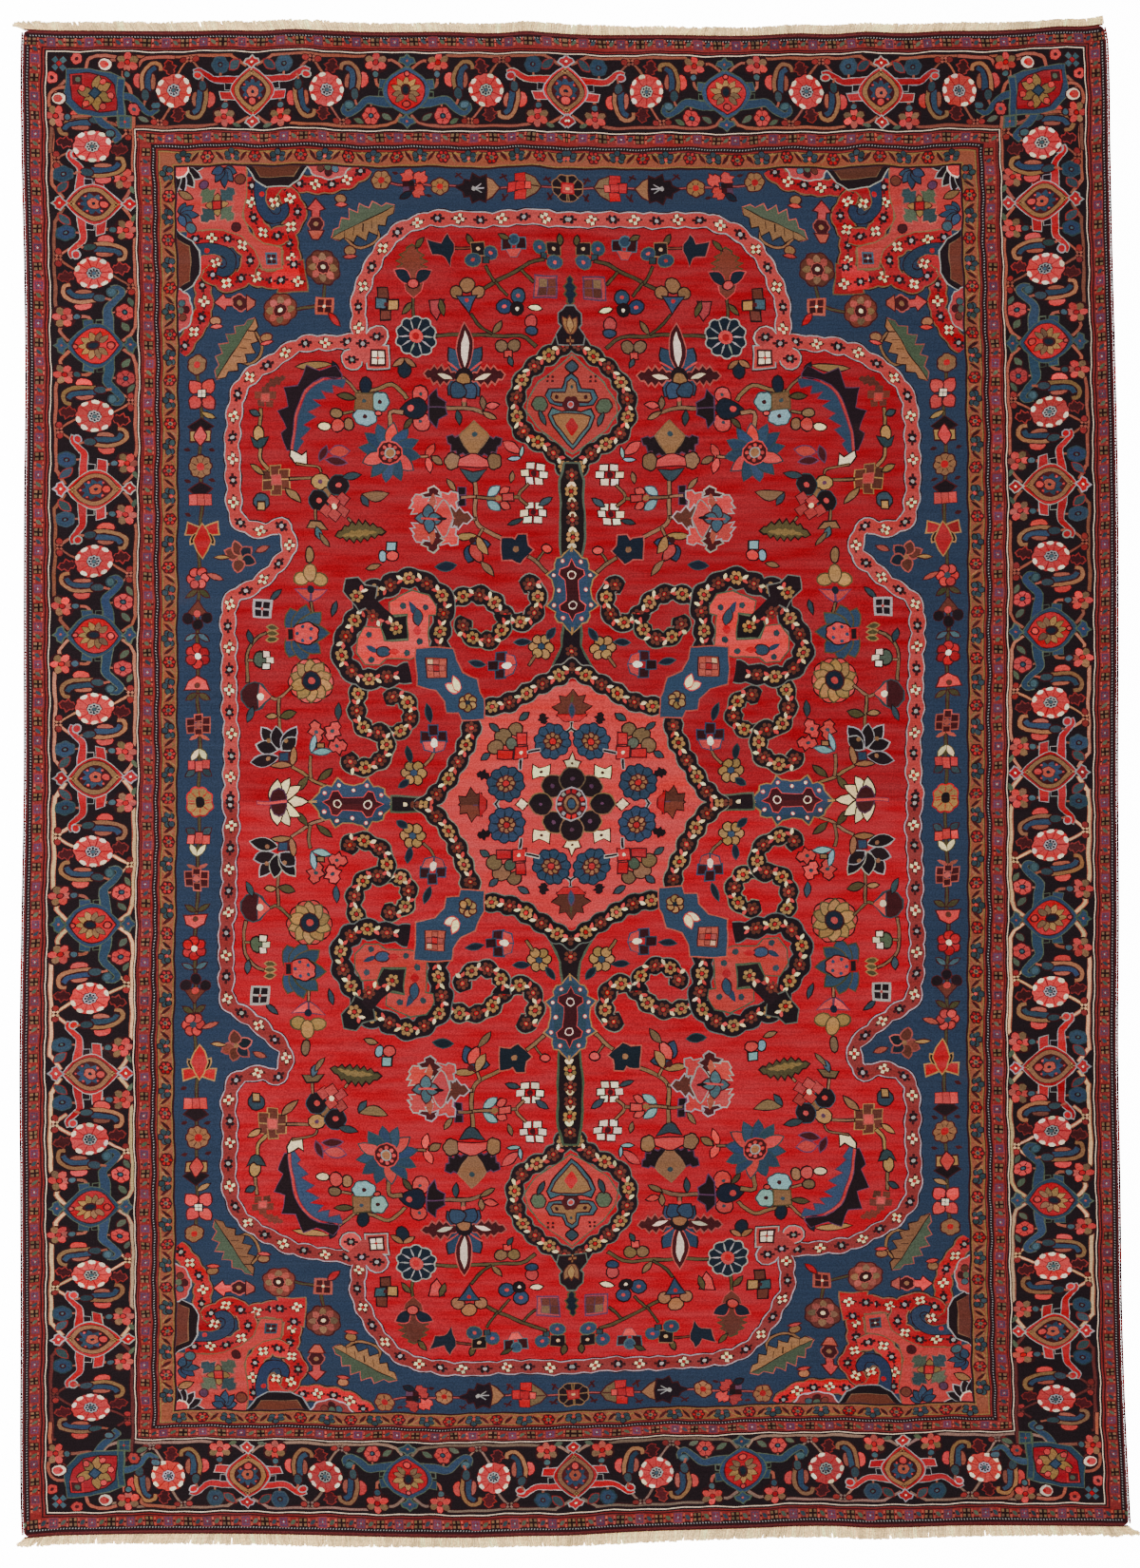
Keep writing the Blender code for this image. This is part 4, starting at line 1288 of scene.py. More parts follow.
    # ochre palmette with black wings
    for flip in (1, -1):
        c.put(leaf(24.9 + 0.8 * flip, 89.0, 24.9 + 6.9 * flip, 92.6, 4.2, 0, 3), "black", "mauve")
        c.put(scallop(24.9 + 5.3 * flip, 86.8, 1.9, 5, 2.1), "khaki", "outline")
    c.put(ogive(24.9, 93.2, 3.5, 5.2, 3.8, 0, 1.2), "ochre", "khaki")
    c.disc(24.9, 93.8, 0.7, "slate")
    c.put([(28.6, 85.6), (28.4, 87.4), (25.6, 88.6), (24.2, 88.6), (21.4, 87.4), (21.2, 85.6)], "coral",
        "outline")
    c.put([(28.0, 84.8), (24.9, 84.2), (21.8, 84.8), (23.6, 82.4), (24.9, 81.4), (26.2, 82.4)], "slate",
        "outline")
    c.stem(((24.6, 81.6), (24.6, 77), (24.6, 72.2), (22.6, 69.6), (18.0, 67.6)), 0.8, "khaki")
    c.leaf(17.4, 91.8, 13.2, 88.6, 2.2, "coral")
    c.leaf(12.4, 90.2, 13.0, 87.6, 0.8, "sky")
    c.leaf(13.0, 87.4, 16.0, 87.2, 0.9, "sky")
    for x, y in ((9.5, 83.4), (10.0, 73.6)):
        for dx, dy in ((-1.6, 1.6), (0.9, 1.8), (2.3, 0), (1.3, -1.8), (-1.2, -1.8), (-2.4, -0.1)):
            c.block(x + dx, y + dy, 1.9, 1.5, "white", "outline", rim=0.25)
        c.disc(x, y, 0.8, "maroon")
    c.stem(((11.2, 80.8), (13.6, 78.0), (11.4, 75.6)), 0.6, "khaki")
    c.leaf(15.6, 81.4, 15.0, 84.0, 1.1, "khaki")
    c.stem(((24.6, 77.6), (19.6, 77.4)), 0.6, "khaki")
    c.stem(((28.6, 77.8), (24.6, 77.7)), 0.6, "khaki")
    c.stem(((17.6, 77.6), (13.6, 77.6)), 0.6, "khaki")
    for dy in (1.8, -1.8):
        c.leaf(21.6, 77.4 + 0.4 * dy, 18.4, 77.4 + 1.7 * dy, 1.9, "sky", "slate")
        c.leaf(18.4, 77.4 + 0.7 * dy, 16.0, 77.4 + 1.4 * dy, 1.9, "coral")
    c.block(16.4, 77.6, 2.6, 1.6, "coral", "outline")
    c.disc(18.9, 77.4, 0.8, "ochre")
    c.disc(29.8, 77.8, 1.35, "blue", "outline")
    for dy in (1.5, -1.5):
        c.block(28.0, 77.9 + dy, 1.7, 1.8, "black", "mauve", rim=0.2)
    c.leaf(29.6, 79.4, 31.6, 82.2, 1.1, "khaki")
    c.leaf(8.4, 75.4, 5.4, 77.4, 1.4, "slate")
    c.leaf(12.6, 72.0, 16.0, 71.0, 1.2, "slate")
    # coral bud pair, navy star, pinwheel
    c.leaf(35.2, 90.8, 37.0, 87.4, 1.9, "coral")
    c.leaf(36.0, 83.8, 36.8, 87.6, 1.7, "coral")
    c.leaf(35.6, 87.6, 32.8, 86.0, 1.7, "khaki")
    c.stem(((36.6, 87.7), (40.4, 88.0)), 0.5, "khaki")
    c.put([(17.8, 67.6), (15.2, 67.4), (14.4, 66.8), (13.6, 68.2), (11.4, 68.2), (11.2, 65.4), (9.9, 64.2),
        (11.4, 62.8), (13.2, 61.0), (15.2, 62.0), (17.7, 61.8)], "night", "rose")
    c.disc(14.1, 64.6, 0.75, "ochre")
    c.disc(6.3, 64.4, 1.2, "coral", "outline", 0.95)
    c.stem(((11.0, 62.6), (8.6, 60.8), (6.4, 58.6)), 0.7, "khaki")
    c.stem(((8.6, 61.6), (7.2, 63.6)), 0.4, "khaki")
    c.put(petal(26.0, 65.4, 175, 0.5, 5.4, 3.0), "blue", "outline")
    c.put(petal(25.0, 65.6, -75, 0.3, 4.6, 3.2), "blue", "outline")
    c.put(petal(25.8, 65.8, 238, 0.5, 5.4, 2.6), "coral", "outline")
    c.leaf(24.0, 67.8, 29.4, 67.6, 1.7, "straw")
    c.leaf(23.6, 67.6, 21.4, 63.4, 2.1, "straw", bend=0.4)
    c.disc(25.1, 66.6, 0.9, "maroon")
    c.leaf(23.0, 61.4, 20.0, 57.8, 1.5, "khaki")
    c.leaf(29.4, 60.4, 34.4, 60.2, 2.2, "night", "slate")
    c.stem(((22.6, 69.6), (23.4, 67.8)), 0.5, "khaki")
    # the big coral and brown palmette
    c.stem(((30.4, 72.3), (24.6, 72.2)), 0.7, "khaki")
    for angle, far, wool in ((100, 8.2, "maroon"), (138, 9.6, "coral"), (180, 10.6, "brown"),
            (222, 9.6, "coral"), (262, 8.6, "maroon"), (300, 6.6, "coral"), (60, 6.6, "coral")):
        dx, dy = heading(angle)
        c.put(leaf(36.2, 72.3, 36.2 + far * dx, 72.3 + far * dy, 5.6, 0, 4), wool, "ice")
    for angle in (100, 180, 262):
        c.put(petal(36.2, 72.3, angle, 2.6, 6.6, 1.6), "salmon")
    c.put(ogive(32.6, 72.3, 4.6, 2.6, 2.2, 90, 1.6), "coral", "ice")
    for angle in (0, 90, 180, 270):
        c.put(petal(36.4, 72.3, angle, 0, 3.4, 2.6), "steel", "maroon")
    c.stem(((33.0, 72.3), (38.4, 72.3)), 0.5, "coral", None)
    c.leaf(34.4, 72.4, 31.6, 72.4, 0.9, "black", None)
    # left of the big palmettes: teal leaf, ochre square with pale blue flowers
    c.stem(((58.4, 107.4), (56.4, 105.8), (54.6, 103.8)), 0.6, "khaki")
    c.leaf(70.4, 109.8, 61.2, 110.6, 1.7, "straw")
    c.leaf(63.6, 108.4, 58.6, 107.8, 1.6, "night")
    c.leaf(60.9, 111.2, 59.4, 107.8, 1.5, "night")
    c.disc(52.6, 105.9, 1.3, "night", "outline", 2.1)
    c.put(scallop(48.8, 101.8, 2.3, 6), "sky", "slate")
    c.put(scallop(52.4, 97.8, 2.9, 7, 2.2), "sky", "slate")
    c.block(52.9, 101.7, 4.2, 3.9, "ochre", "olive")
    for x, y, wool in ((52.9, 101.8, "slate"), (48.8, 101.8, "maroon"), (52.4, 97.8, "maroon")):
        c.disc(x, y, 0.6, wool)
    c.leaf(59.8, 102.8, 55.2, 102.4, 1.5, "olive")
    c.disc(49.2, 99.0, 0.7, "coral", "outline", 0.5)
    c.disc(59.7, 98.3, 1.5, "khaki", "outline", 1.1)
    c.disc(56.6, 95.6, 1.2, "khaki", "outline", 1.5)
    c.disc(59.4, 95.3, 1.5, "coral", "outline", 1.6)
    c.disc(62.7, 95.0, 1.5, "cream", "outline", 0.85)
    c.stem(((57.8, 98.4), (55.4, 98.9)), 0.5, "khaki")
    # blue many-petalled rosette
    for index in range(12):
        c.put(petal(46.3, 89.0, 30 * index + 8, 1.6, 7.4, 2.9), "coral" if index % 4 == 3 else "blue",
            "slate")
    c.disc(46.3, 89.0, 2.9, "maroon", "coral")
    c.ring(46.3, 89.0, 1.9, 8, 0.5, "coral")
    c.disc(46.3, 89.0, 1.1, "ochre", "ice")
    # half palmette with black and blue teeth
    crescent = ((58.6, 107.6), (63.6, 107.2), (67.6, 104.4), (69.8, 99.6), (71.0, 94.6), (71.6, 89.0))
    c.put(saw_strip(crescent, 2.0, 5, 2.8, -1.3), "black", "mauve", 0.22)
    c.put(saw_strip([(u - 0.9, v - 0.7) for u, v in crescent[::-1]], 1.7, 7, 2.7, 1.0), "blue", "mauve", 0.22)
    c.lay(ribbon([(u - 0.4, v - 0.3) for u, v in crescent[1:]], 0.5), "coral")
    c.put([(71.4, 88.8), (68.6, 87.4), (67.6, 88.4), (67.6, 85.2), (70.2, 85.6), (71.6, 87.4)], "cream",
        "outline")
    # brown flowers at the side
    for x, y, r in ((77.8, 102.3, 1.45), (75.0, 81.5, 1.9)):
        for index in range(5 if r < 1.6 else 6):
            angle = math.radians(72 * index + 90 if r < 1.6 else 60 * index + 30)
            c.block(x + 1.32 * r * math.cos(angle), y + 1.32 * r * math.sin(angle), 1.25 * r, 1.25 * r,
                "brown", "straw" if r > 1.6 else None, rim=0.25)
        c.block(x, y, 1.1 * r, 1.1 * r, "coral", "rose")
    c.put(leaf(78.0, 105.2, 72.6, 107.4, 2.6, 0, 3), "brown", None)
    c.stem(((79.2, 99.4), (79.4, 95.2)), 0.7, "khaki")
    c.leaf(79.6, 97.6, 82.0, 98.8, 1.4, "slate")
    c.disc(79.6, 93.0, 1.25, "straw", "outline", 2.0)
    c.put([(81.6, 92.2), (80.0, 91.0), (79.2, 91.8), (77.2, 92.2), (78.2, 90.2), (79.2, 89.2), (80.6, 90.0)],
        "slate", "outline")
    c.stem(((79.0, 89.2), (78.8, 86.6), (76.8, 84.4)), 0.7, "straw")
    c.leaf(81.4, 85.2, 78.2, 83.2, 1.3, "straw")
    c.stem(((71.4, 81.7), (66.0, 81.6)), 0.6, "khaki")
    c.leaf(72.6, 79.2, 68.8, 75.6, 1.7, "khaki")
    c.put(scallop(79.0, 76.2, 2.0, 5), "slate", "outline")
    c.block(79.0, 75.0, 1.6, 1.8, "straw", "outline")
    # straw drops with navy discs
    c.stem(((63.8, 83.2), (64.8, 84.6), (70.0, 85.4)), 0.4, "khaki")
    c.disc(63.7, 80.9, 2.1, "straw", "outline", 1.8)
    c.disc(61.6, 78.2, 1.5, "ochre", "outline", 1.4)
    c.disc(63.8, 80.9, 0.6, "mauve")
    for x, y in ((59.3, 80.3), (64.1, 76.2)):
        c.put(scallop(x, y, 2.6, 6, depth=0.1), "black", "slate", 0.22)
        c.disc(x, y, 0.7, "coral")
    c.leaf(58.2, 82.2, 53.8, 83.2, 1.6, "slate")
    c.leaf(62.6, 89.9, 64.0, 86.2, 1.6, "maroon", "mauve")
    c.leaf(62.4, 86.4, 57.4, 86.0, 1.7, "maroon", "mauve")
    c.leaf(61.8, 88.4, 56.6, 89.0, 2.6, "coral", "mauve")
    for x, y in ((57.9, 77.0), (60.4, 76.2), (62.3, 73.7), (58.0, 74.0), (60.2, 73.0)):
        c.block(x, y, 2.4, 2.3, "pink", "outline", 35, 0.2)
    c.disc(60.2, 75.0, 0.7, "cream")
    c.leaf(53.2, 78.4, 46.4, 78.6, 2.4, "khaki", bend=0.8)
    c.leaf(53.4, 78.0, 51.6, 75.2, 1.4, "slate")
    # leaves above the medallion
    c.stem(((65.0, 74.0), (65.0, 70.6)), 0.5, "khaki")
    c.put([(67.4, 69.2), (66.4, 70.8), (63.6, 70.8), (62.2, 69.2)], "khaki", "outline")
    c.leaf(65.0, 69.4, 64.0, 66.6, 1.6, "steel")
    c.leaf(64.2, 68.0, 61.8, 64.8, 1.1, "khaki")
    c.stem(((56.8, 72.2), (55.6, 70.6)), 0.4, "khaki")
    c.put(leaf(60.0, 67.6, 47.6, 68.6, 4.6, -0.8, 6), "olive", "outline")
    c.put(leaf(58.4, 67.5, 49.6, 68.4, 1.8, -0.5, 4), "straw")
    c.block(46.0, 65.1, 2.2, 1.9, "sky", "outline")
    c.disc(48.1, 62.6, 0.9, "sky", "outline", 1.4)
    c.disc(45.6, 62.6, 1.5, "coral", "outline", 1.2)
    c.leaf(48.8, 60.4, 52.0, 59.6, 1.3, "khaki")
    c.disc(66.5, 62.4, 0.9, "khaki", "outline", 2.0)
    for dx, dy, rx, ry in ((2.4, -1.2, 1.8, 1.5), (-2.5, -1.2, 1.8, 1.5), (0, 0.3, 1.5, 2.2)):
        c.disc(66.2 + dx, 57.4 + dy, rx, "straw", "olive", ry)
    for flip in (1, -1):
        c.put([(66.2 + 0.3 * flip, 53.4), (66.2 + 3.9 * flip, 53.6), (66.2 + 2.0 * flip, 51.8),
            (66.2 + 0.3 * flip, 50.8)], "coral", "mauve")
    c.disc(66.3, 53.6, 0.9, "night")
    c.stem(((66.2, 50.6), (65.8, 47.8)), 0.5, "khaki")
    c.leaf(76.6, 51.4, 73.8, 53.8, 1.2, "slate")
    c.square_cross(78.4, 48.9, 1.6, "black", "ice", "coral")
    c.leaf(60.8, 47.2, 59.8, 50.8, 1.2, "slate")
    # blue palmette on its side
    for angle, far in ((70, 6.4), (-70, 6.4), (105, 7.2), (-105, 7.2), (138, 7.4), (-138, 7.4), (180, 7.6)):
        c.put(petal(69.4, 42.7, angle, 0, far, 4.4), "blue", "olive")
    c.put(scallop(67.6, 42.6, 3.4, 7, 2.7), "coral", "outline")
    c.ring(67.6, 42.6, 1.9, 5, 0.5, "blue")
    c.block(71.2, 42.5, 1.4, 2.7, "black", "bright")
    for dy in (1.3, 0, -1.3):
        c.leaf(74.6, 42.6 + dy, 77.2, 42.6 + 1.3 * dy, 1.1, "olive", "straw")
    c.stem(((77.4, 42.6), (79.4, 41.6), (82.2, 38.4), (82.4, 34), (82.2, 30.2)), 0.6, "khaki")
    c.leaf(81.2, 40.0, 81.8, 43.2, 1.4, "slate")
    c.stem(((82.2, 35.6), (80.2, 35.6)), 0.5, "khaki")
    c.disc(79.2, 36.0, 1.5, "moss", "outline", 1.8)
    for dx, dy in ((0, 1.5), (-0.9, 0.1), (0, -1.4)):
        c.block(77.6 + dx, 35.8 + dy, 1.7, 1.4, "white", "outline", rim=0.2)
    # sunflower, tulip and thistle
    c.put(scallop(66.2, 30.6, 5.6, 10, depth=0.1), "coral", "outline")
    for index in range(10):
        c.put(petal(66.2, 30.6, 36 * index + 18, 1.5, 5.4, 3.0), "straw", "olive")
    c.disc(66.2, 30.6, 2.3, "night", "maroon")
    c.disc(66.2, 30.6, 0.9, "coral")
    c.disc(80.4, 26.8, 3.2, "maroon", "slate", 3.4)
    c.put([(79.2, 29.8), (76.2, 26.8), (79.2, 24.0)], "coral", "slate")
    c.disc(78.7, 26.7, 0.9, "white")
    c.stem(((76.2, 26.7), (74.4, 26.4), (71.0, 29.2)), 0.6, "khaki")
    c.stem(((74.2, 26.4), (74.1, 21), (74.0, 14.4)), 0.6, "khaki")
    c.leaf(74.6, 21.8, 77.4, 21.9, 1.3, "straw")
    c.leaf(73.8, 21.4, 69.8, 22.6, 1.9, "olive")
    c.leaf(80.8, 24.0, 82.2, 20.4, 1.4, "slate")
    for x0, y0, x1, y1 in ((75.0, 13.4, 78.6, 19.0), (75.0, 13.2, 80.2, 14.6), (74.4, 13.4, 75.0, 19.0),
            (73.8, 13.2, 69.8, 18.6), (73.6, 13.0, 69.9, 15.8), (74.6, 11.2, 81.2, 10.2)):
        c.leaf(x0, y0, x1, y1, 3.1, "black", "ice")
    for x, y in ((77.0, 15.6), (72.4, 15.3), (77.0, 11.1)):
        c.disc(x, y, 0.6, "ochre")
    c.leaf(70.4, 13.6, 71.2, 9.0, 1.6, "ochre")
    c.leaf(76.2, 9.2, 71.2, 9.2, 1.4, "ochre")
    c.block(73.2, 11.2, 2.2, 1.8, "blue", "maroon")
    c.stem(((71.0, 8.8), (68.4, 7.2), (66.0, 5.6), (62.6, 4.4)), 0.6, "khaki")
    c.stem(((66.2, 11.6), (66.6, 8.6), (66.2, 6.0)), 0.6, "khaki")
    for x, y, turn in ((64.6, 17.8, 100), (60.6, 18.2, 65), (59.4, 14.6, 10)):
        dx, dy = heading(turn)
        c.put(leaf(x + 2.2 * dx, y - 2.6 * dy, x - 2.6 * dx, y + 2.6 * dy, 3.6, 0, 2), "coral", "outline")
        c.disc(x, y, 0.55, "slate")
    c.leaf(65.0, 17.0, 66.0, 12.6, 1.4, "sky", "slate")
    c.leaf(65.6, 12.4, 61.0, 13.2, 1.5, "sky", "slate")
    c.block(63.7, 14.4, 1.7, 1.0, "ochre", "outline")
    c.leaf(59.2, 25.2, 59.4, 21.2, 1.5, "slate")
    c.leaf(64.4, 5.8, 60.8, 8.8, 1.5, "olive")
    c.leaf(67.0, 6.0, 69.6, 2.6, 1.5, "olive")
    # cream palmette at the side of the medallion
    c.stem(((72.2, 0), (65.8, 0)), 0.6, "khaki")
    for angle, far in ((180, 8.4), (150, 7.4), (122, 6.8), (96, 5.6), (210, 7.4), (238, 6.8), (264, 5.6)):
        c.put(petal(75.2, 0, angle, 0, far, 2.9), "cream", "outline")
    c.disc(74.2, 0, 2.1, "maroon", "mauve", 3.4)
    c.stem(((72.0, 0), (79.8, 0)), 0.6, "coral", "mauve")
    # small flowers inside the medallion's corners
    for x, y, r in ((7.8, 39.5, 2.0), (40.2, 8.0, 2.0)):
        c.ring(x, y, r, 6, 1.1, "straw", "outline")
        c.disc(x, y, 0.85, "blue")
    for x0, y0, x1, y1 in ((6.2, 41.6, 4.2, 44.4), (10.6, 40.8, 14.6, 40.8), (41.0, 10.8, 41.6, 14.6),
            (41.6, 6.0, 44.0, 4.2), (22.0, 35.6, 26.2, 36.2), (35.6, 21.0, 37.0, 25.2)):
        c.leaf(x0, y0, x1, y1, 1.5, "night", "slate")
    c.stem(((9.4, 37.2), (11.2, 34.6)), 0.5, "khaki")
    c.stem(((37.6, 10.0), (35.6, 12.0), (34.8, 13.8)), 0.5, "khaki")
    for x, y, turn in ((35.0, 16.6, 0), (17.6, 35.2, -90)):
        c.place(x, y, turn)
        for dx, dy in ((-2.1, 0.6), (2.1, 0.6), (0, 2.4)):
            c.block(dx, dy, 2.1, 2.4, "plum", "blue", rim=0.3)
        for flip in (1, -1):
            c.put([(0.2 * flip, -0.6), (2.8 * flip, -0.6), (2.2 * flip, -2.6), (0.2 * flip, -3.2)], "coral",
                "blue", 0.25)
        c.put(petal(0, -2.2, 90, 0, 2.6, 1.7), "white")
    c.home()


def medallion(chart):
    """The medallion with its pendant, blue cartouches, flowered arabesques and coral middle."""
    c = chart

    def black_scroll(path, width=4.3, pitch=4.6):
        """A waved dark band with a grey edge and straw and coral flowers."""
        garland(c, path, width, "black", (("grey", 0.32),), straw_and_coral, pitch, 0.85)

    # pendant: a dark ring of flowers round a coral heart
    black_scroll(((0.6, 117.5), (4.5, 114.6), (8.0, 112.0), (11.6, 108.4), (13.9, 103.6), (14.2, 98.6),
        (12.8, 94.4), (9.6, 91.8), (5.8, 89.8), (2.6, 87.0), (1.2, 84)), 4.2)
    c.put([(-2, 113.8), (0, 113.8), (3.4, 110.8), (8.2, 106.6), (11.0, 102.0), (11.3, 98.8), (9.2, 95.4),
        (5.4, 92.6), (2.0, 90.2), (0, 89.0), (-2, 89.0)], "coral", "moss")
    c.put([(-2, 125.8), (1.6, 125.8), (2.2, 124.8), (3.4, 124.0), (3.4, 121.4), (2.6, 120.6), (3.4, 119.4),
        (4.0, 118.4), (3.6, 116.2), (-2, 116.2)], "black", "grey")
    for flip in (1, -1):
        c.put(petal(0.2, 118.8, 90 - 28 * flip, 0, 4.6, 1.8), "ochre", "brown", 0.2)
    c.put(ogive(0.2, 121.2, 1.2, 2.4, 2.6), "straw", "brown", 0.2)
    c.cross(0.2, 117.2, 0.8, "ochre", "maroon", "bright")
    c.put(ogive(0, 110.7, 1.7, 1.6, 1.6), "slate", "outline")
    c.put([(-2, 109.2), (0, 109.2), (1.6, 107.8), (2.4, 105.2), (5.6, 104.8), (6.4, 103.0), (5.4, 101.4),
        (2.0, 101.0), (-2, 101)], "steel", "outline")
    c.put([(-2, 107.8), (0, 107.8), (1.2, 106.8), (1.5, 104.4), (4.6, 104.0), (5.0, 102.8), (4.2, 102.0),
        (-2, 102)], "ochre", "maroon")
    for x, y in ((0, 105.9), (3.6, 103.1)):
        c.disc(x, y, 0.55, "slate" if x == 0 else "maroon")
    c.put(scallop(0, 101.3, 2.3, 6), "maroon")
    c.disc(0, 101.3, 0.7, "coral", "ice", width=0.2)
    c.put([(-2, 90.2), (0, 90.2), (2.4, 92.8), (4.6, 95.6), (5.9, 98.2), (5.0, 100.2), (2.6, 99.4),
        (-2, 99.6)], "steel", "outline")
    c.put([(-2, 91.5), (0, 91.5), (2.0, 93.9), (3.8, 96.1), (4.8, 98.2), (3.0, 98.9), (-2, 98.9)], "ochre",
        "maroon")
    c.put(ogive(0, 95.8, 1.6, 2.4, 2.2), "bright")
    c.put(scallop(8.2, 100.8, 1.9, 6), "moss", "maroon")
    c.leaf(8.2, 99.0, 6.8, 95.8, 1.2, "slate")
    for dx, dy in ((0, 0), (1.2, 0), (0, 1.2), (1.2, 1.2)):
        c.block(5.0 + dx, 107.0 + dy, 0.6, 0.7, "maroon")
    # stalk down to the blue cartouche
    c.put([(-2, 86.2), (1.6, 86.2), (2.7, 82.0), (2.9, 68.0), (2.4, 63.0), (-2, 63.0)], "black", "moss", 0.6)
    for y, kind in ((83.4, 0), (79.2, 1), (75.4, 0), (71.8, 0), (67.6, 1)):
        straw_and_coral(c, kind, 0, y, -90)
    c.put([(-2, 45.5), (1.9, 45.5), (2.2, 40.2), (3.4, 37.6), (4.8, 34.6), (-2, 33)], "black", "moss", 0.6)
    straw_and_coral(c, 0, 0, 38.8, -90)
    # arabesque scrolls of the upper quarter, and their twins beside the medallion
    black_scroll(((12.9, 54.6), (10.4, 55.6), (8.8, 53.0), (9.2, 48.8), (11.6, 45.8), (15.2, 46.6),
        (17.6, 48.6), (20.4, 51.8), (24.4, 53.2), (28.4, 52.6), (31.6, 51.4)), 4.1, 4.4)
    black_scroll(((26.6, 47.4), (27.4, 44.4), (24.4, 42.0), (20.2, 42.0), (17.6, 44.6), (17.4, 48.0)), 3.9,
        4.2)
    black_scroll(((47.6, 26.6), (44.6, 27.3), (41.6, 25.4), (41.0, 21.6), (43.2, 18.6), (47.4, 17.6)), 3.9,
        4.2)
    black_scroll(((57.0, 12.6), (55.2, 9.4), (50.6, 9.8), (47.4, 12.4), (47.4, 17.6), (51.6, 18.4),
        (54.4, 22.2), (54.4, 27.4), (51.6, 31.6)), 4.1, 4.4)
    # main dark frame between them, round the coral scroll cartouche
    black_scroll(((33.0, 36.4), (33.4, 41.2), (33.0, 46.4), (32.2, 51.0), (35.0, 54.6), (39.2, 57.0),
        (43.6, 56.6), (47.2, 54.6), (51.4, 53.6), (53.0, 49.6), (55.6, 45.4), (58.0, 40.6), (57.6, 35.4),
        (52.8, 31.8), (47.0, 32.4), (41.0, 33.4)), 4.9, 4.8)
    c.put([(57.2, 56.6), (54.2, 57.2), (52.4, 55.4), (49.4, 54.8), (50.2, 50.8), (54.0, 48.8), (55.6, 51.4),
        (57.6, 53.6)], "black", "grey")
    c.put([(47.6, 47.8), (45.0, 47.4), (41.8, 47.8), (41.8, 42.0), (47.0, 41.8), (48.6, 44.8)], "black",
        "moss")
    straw_and_coral(c, 1, 54.4, 52.6, 130)
    c.put([(34.6, 49.8), (36.6, 52.8), (40.4, 53.8), (43.8, 52.2), (46.2, 51.0), (46.0, 48.0), (41.8, 48.4),
        (41.4, 41.2), (47.6, 41.4), (48.8, 44.4), (52.6, 44.8), (54.4, 41.6), (54.4, 38.0), (52.2, 35.6),
        (48.6, 35.6), (47.0, 37.2), (40.8, 37.0), (36.2, 39.0), (36.6, 47.6), (34.8, 48.0)], "coral", "moss")
    c.lay(ribbon(((45.4, 45.4), (51.6, 51.4)), 3.4, 1), "black")
    straw_and_coral(c, 0, 50.6, 47.8, 225)
    straw_and_coral(c, 1, 44.8, 44.8, 45)
    c.leaf(41.4, 51.4, 39.2, 47.0, 1.7, "blue", None)
    c.leaf(39.6, 49.4, 39.0, 45.0, 2.2, "blue", "maroon")
    c.leaf(52.4, 39.8, 49.2, 38.6, 1.5, "blue", None)
    c.disc(47.8, 38.8, 1.7, "blue", "maroon", 1.2)
    c.leaf(46.4, 38.8, 43.4, 38.6, 1.6, "bright", None)
    for x, y in ((43.0, 50.1), (37.3, 49.6), (38.6, 41.2), (41.6, 38.4), (51.5, 42.8), (50.7, 36.6)):
        c.put(scallop(x, y, 0.85, 5), "slate")
    c.put(scallop(39.2, 43.8, 1.1, 4), "bright")
    # blue cartouche on the stalk, and its twin at the side
    for x, y, turn in ((0, 54.4, 0), (55.4, 0, 90)):
        c.place(x, y, turn)
        for flip in (1, -1):
            c.put([(0, 10.4), (1.6 * flip, 8.8), (2.6 * flip, 7.8), (3.8 * flip, 7.7), (4.3 * flip, 6.2),
                (4.1 * flip, 5.0), (6.3 * flip, 3.6), (5.2 * flip, 2.4), (4.6 * flip, 0), (5.0 * flip, -2.6),
                (6.2 * flip, -4.2), (4.0 * flip, -5.6), (4.3 * flip, -6.8), (3.6 * flip, -8.2),
                (2.4 * flip, -8.4), (0, -10.8)], "blue", "straw")
        c.lay([(0, 9.4), (2.4, 7.4), (3.9, 4.8), (3.9, -5.4), (2.2, -7.6), (0, -9.4), (-2.2, -7.6),
            (-3.9, -5.4), (-3.9, 4.8), (-2.4, 7.4)], "blue")
        c.put([(0, 7.4), (0.8, 5.6), (2.9, 4.8), (3.1, 3.6), (1.6, 2.4), (1.6, -2.8), (3.1, -4.0),
            (2.9, -5.2), (0.8, -6.0), (0, -7.6), (-0.8, -6.0), (-2.9, -5.2), (-3.1, -4.0), (-1.6, -2.8),
            (-1.6, 2.4), (-3.1, 3.6), (-2.9, 4.8), (-0.8, 5.6)], "maroon", "coral", 0.2)
        for flip in (1, -1):
            for dx, dy in ((4.6, 3.4), (3.6, -0.2), (4.6, -3.9), (2.4, 7.0), (2.4, -7.2)):
                c.disc(dx * flip, dy, 0.4, "white", "coral", width=0.15)
        for dy in (3.6, -4.0):
            c.disc(0, dy, 0.8, "maroon", "white", width=0.28)
    c.home()
    c.put([(38, 1.7), (45.6, 1.7), (45.6, -2.5), (38, -2.5)], "black", "moss", 0.5)
    # the middle: dark frame with flowers round a coral ground
    frame_path = ((-3.0, 35.2), (0.6, 34.2), (4.4, 32.0), (8.6, 29.4), (12.6, 27.0), (16.6, 25.2),
        (22.6, 24.2))
    side_path = ((25.4, 21.6), (26.0, 17.4), (28.0, 12.6), (30.4, 8.0), (33.4, 3.6), (37.4, -0.4),
        (38.6, -2.4))
    c.lay([(-4, 33), (6, 29), (16, 25), (24, 22), (26, 15), (29, 8), (36, 0), (36, -4), (-4, -4)], "coral")
    black_scroll(frame_path, 4.4, 4.7)
    black_scroll(side_path, 4.4, 4.7)
    straw_and_coral(c, 0, 39.6, -0.6, 0)
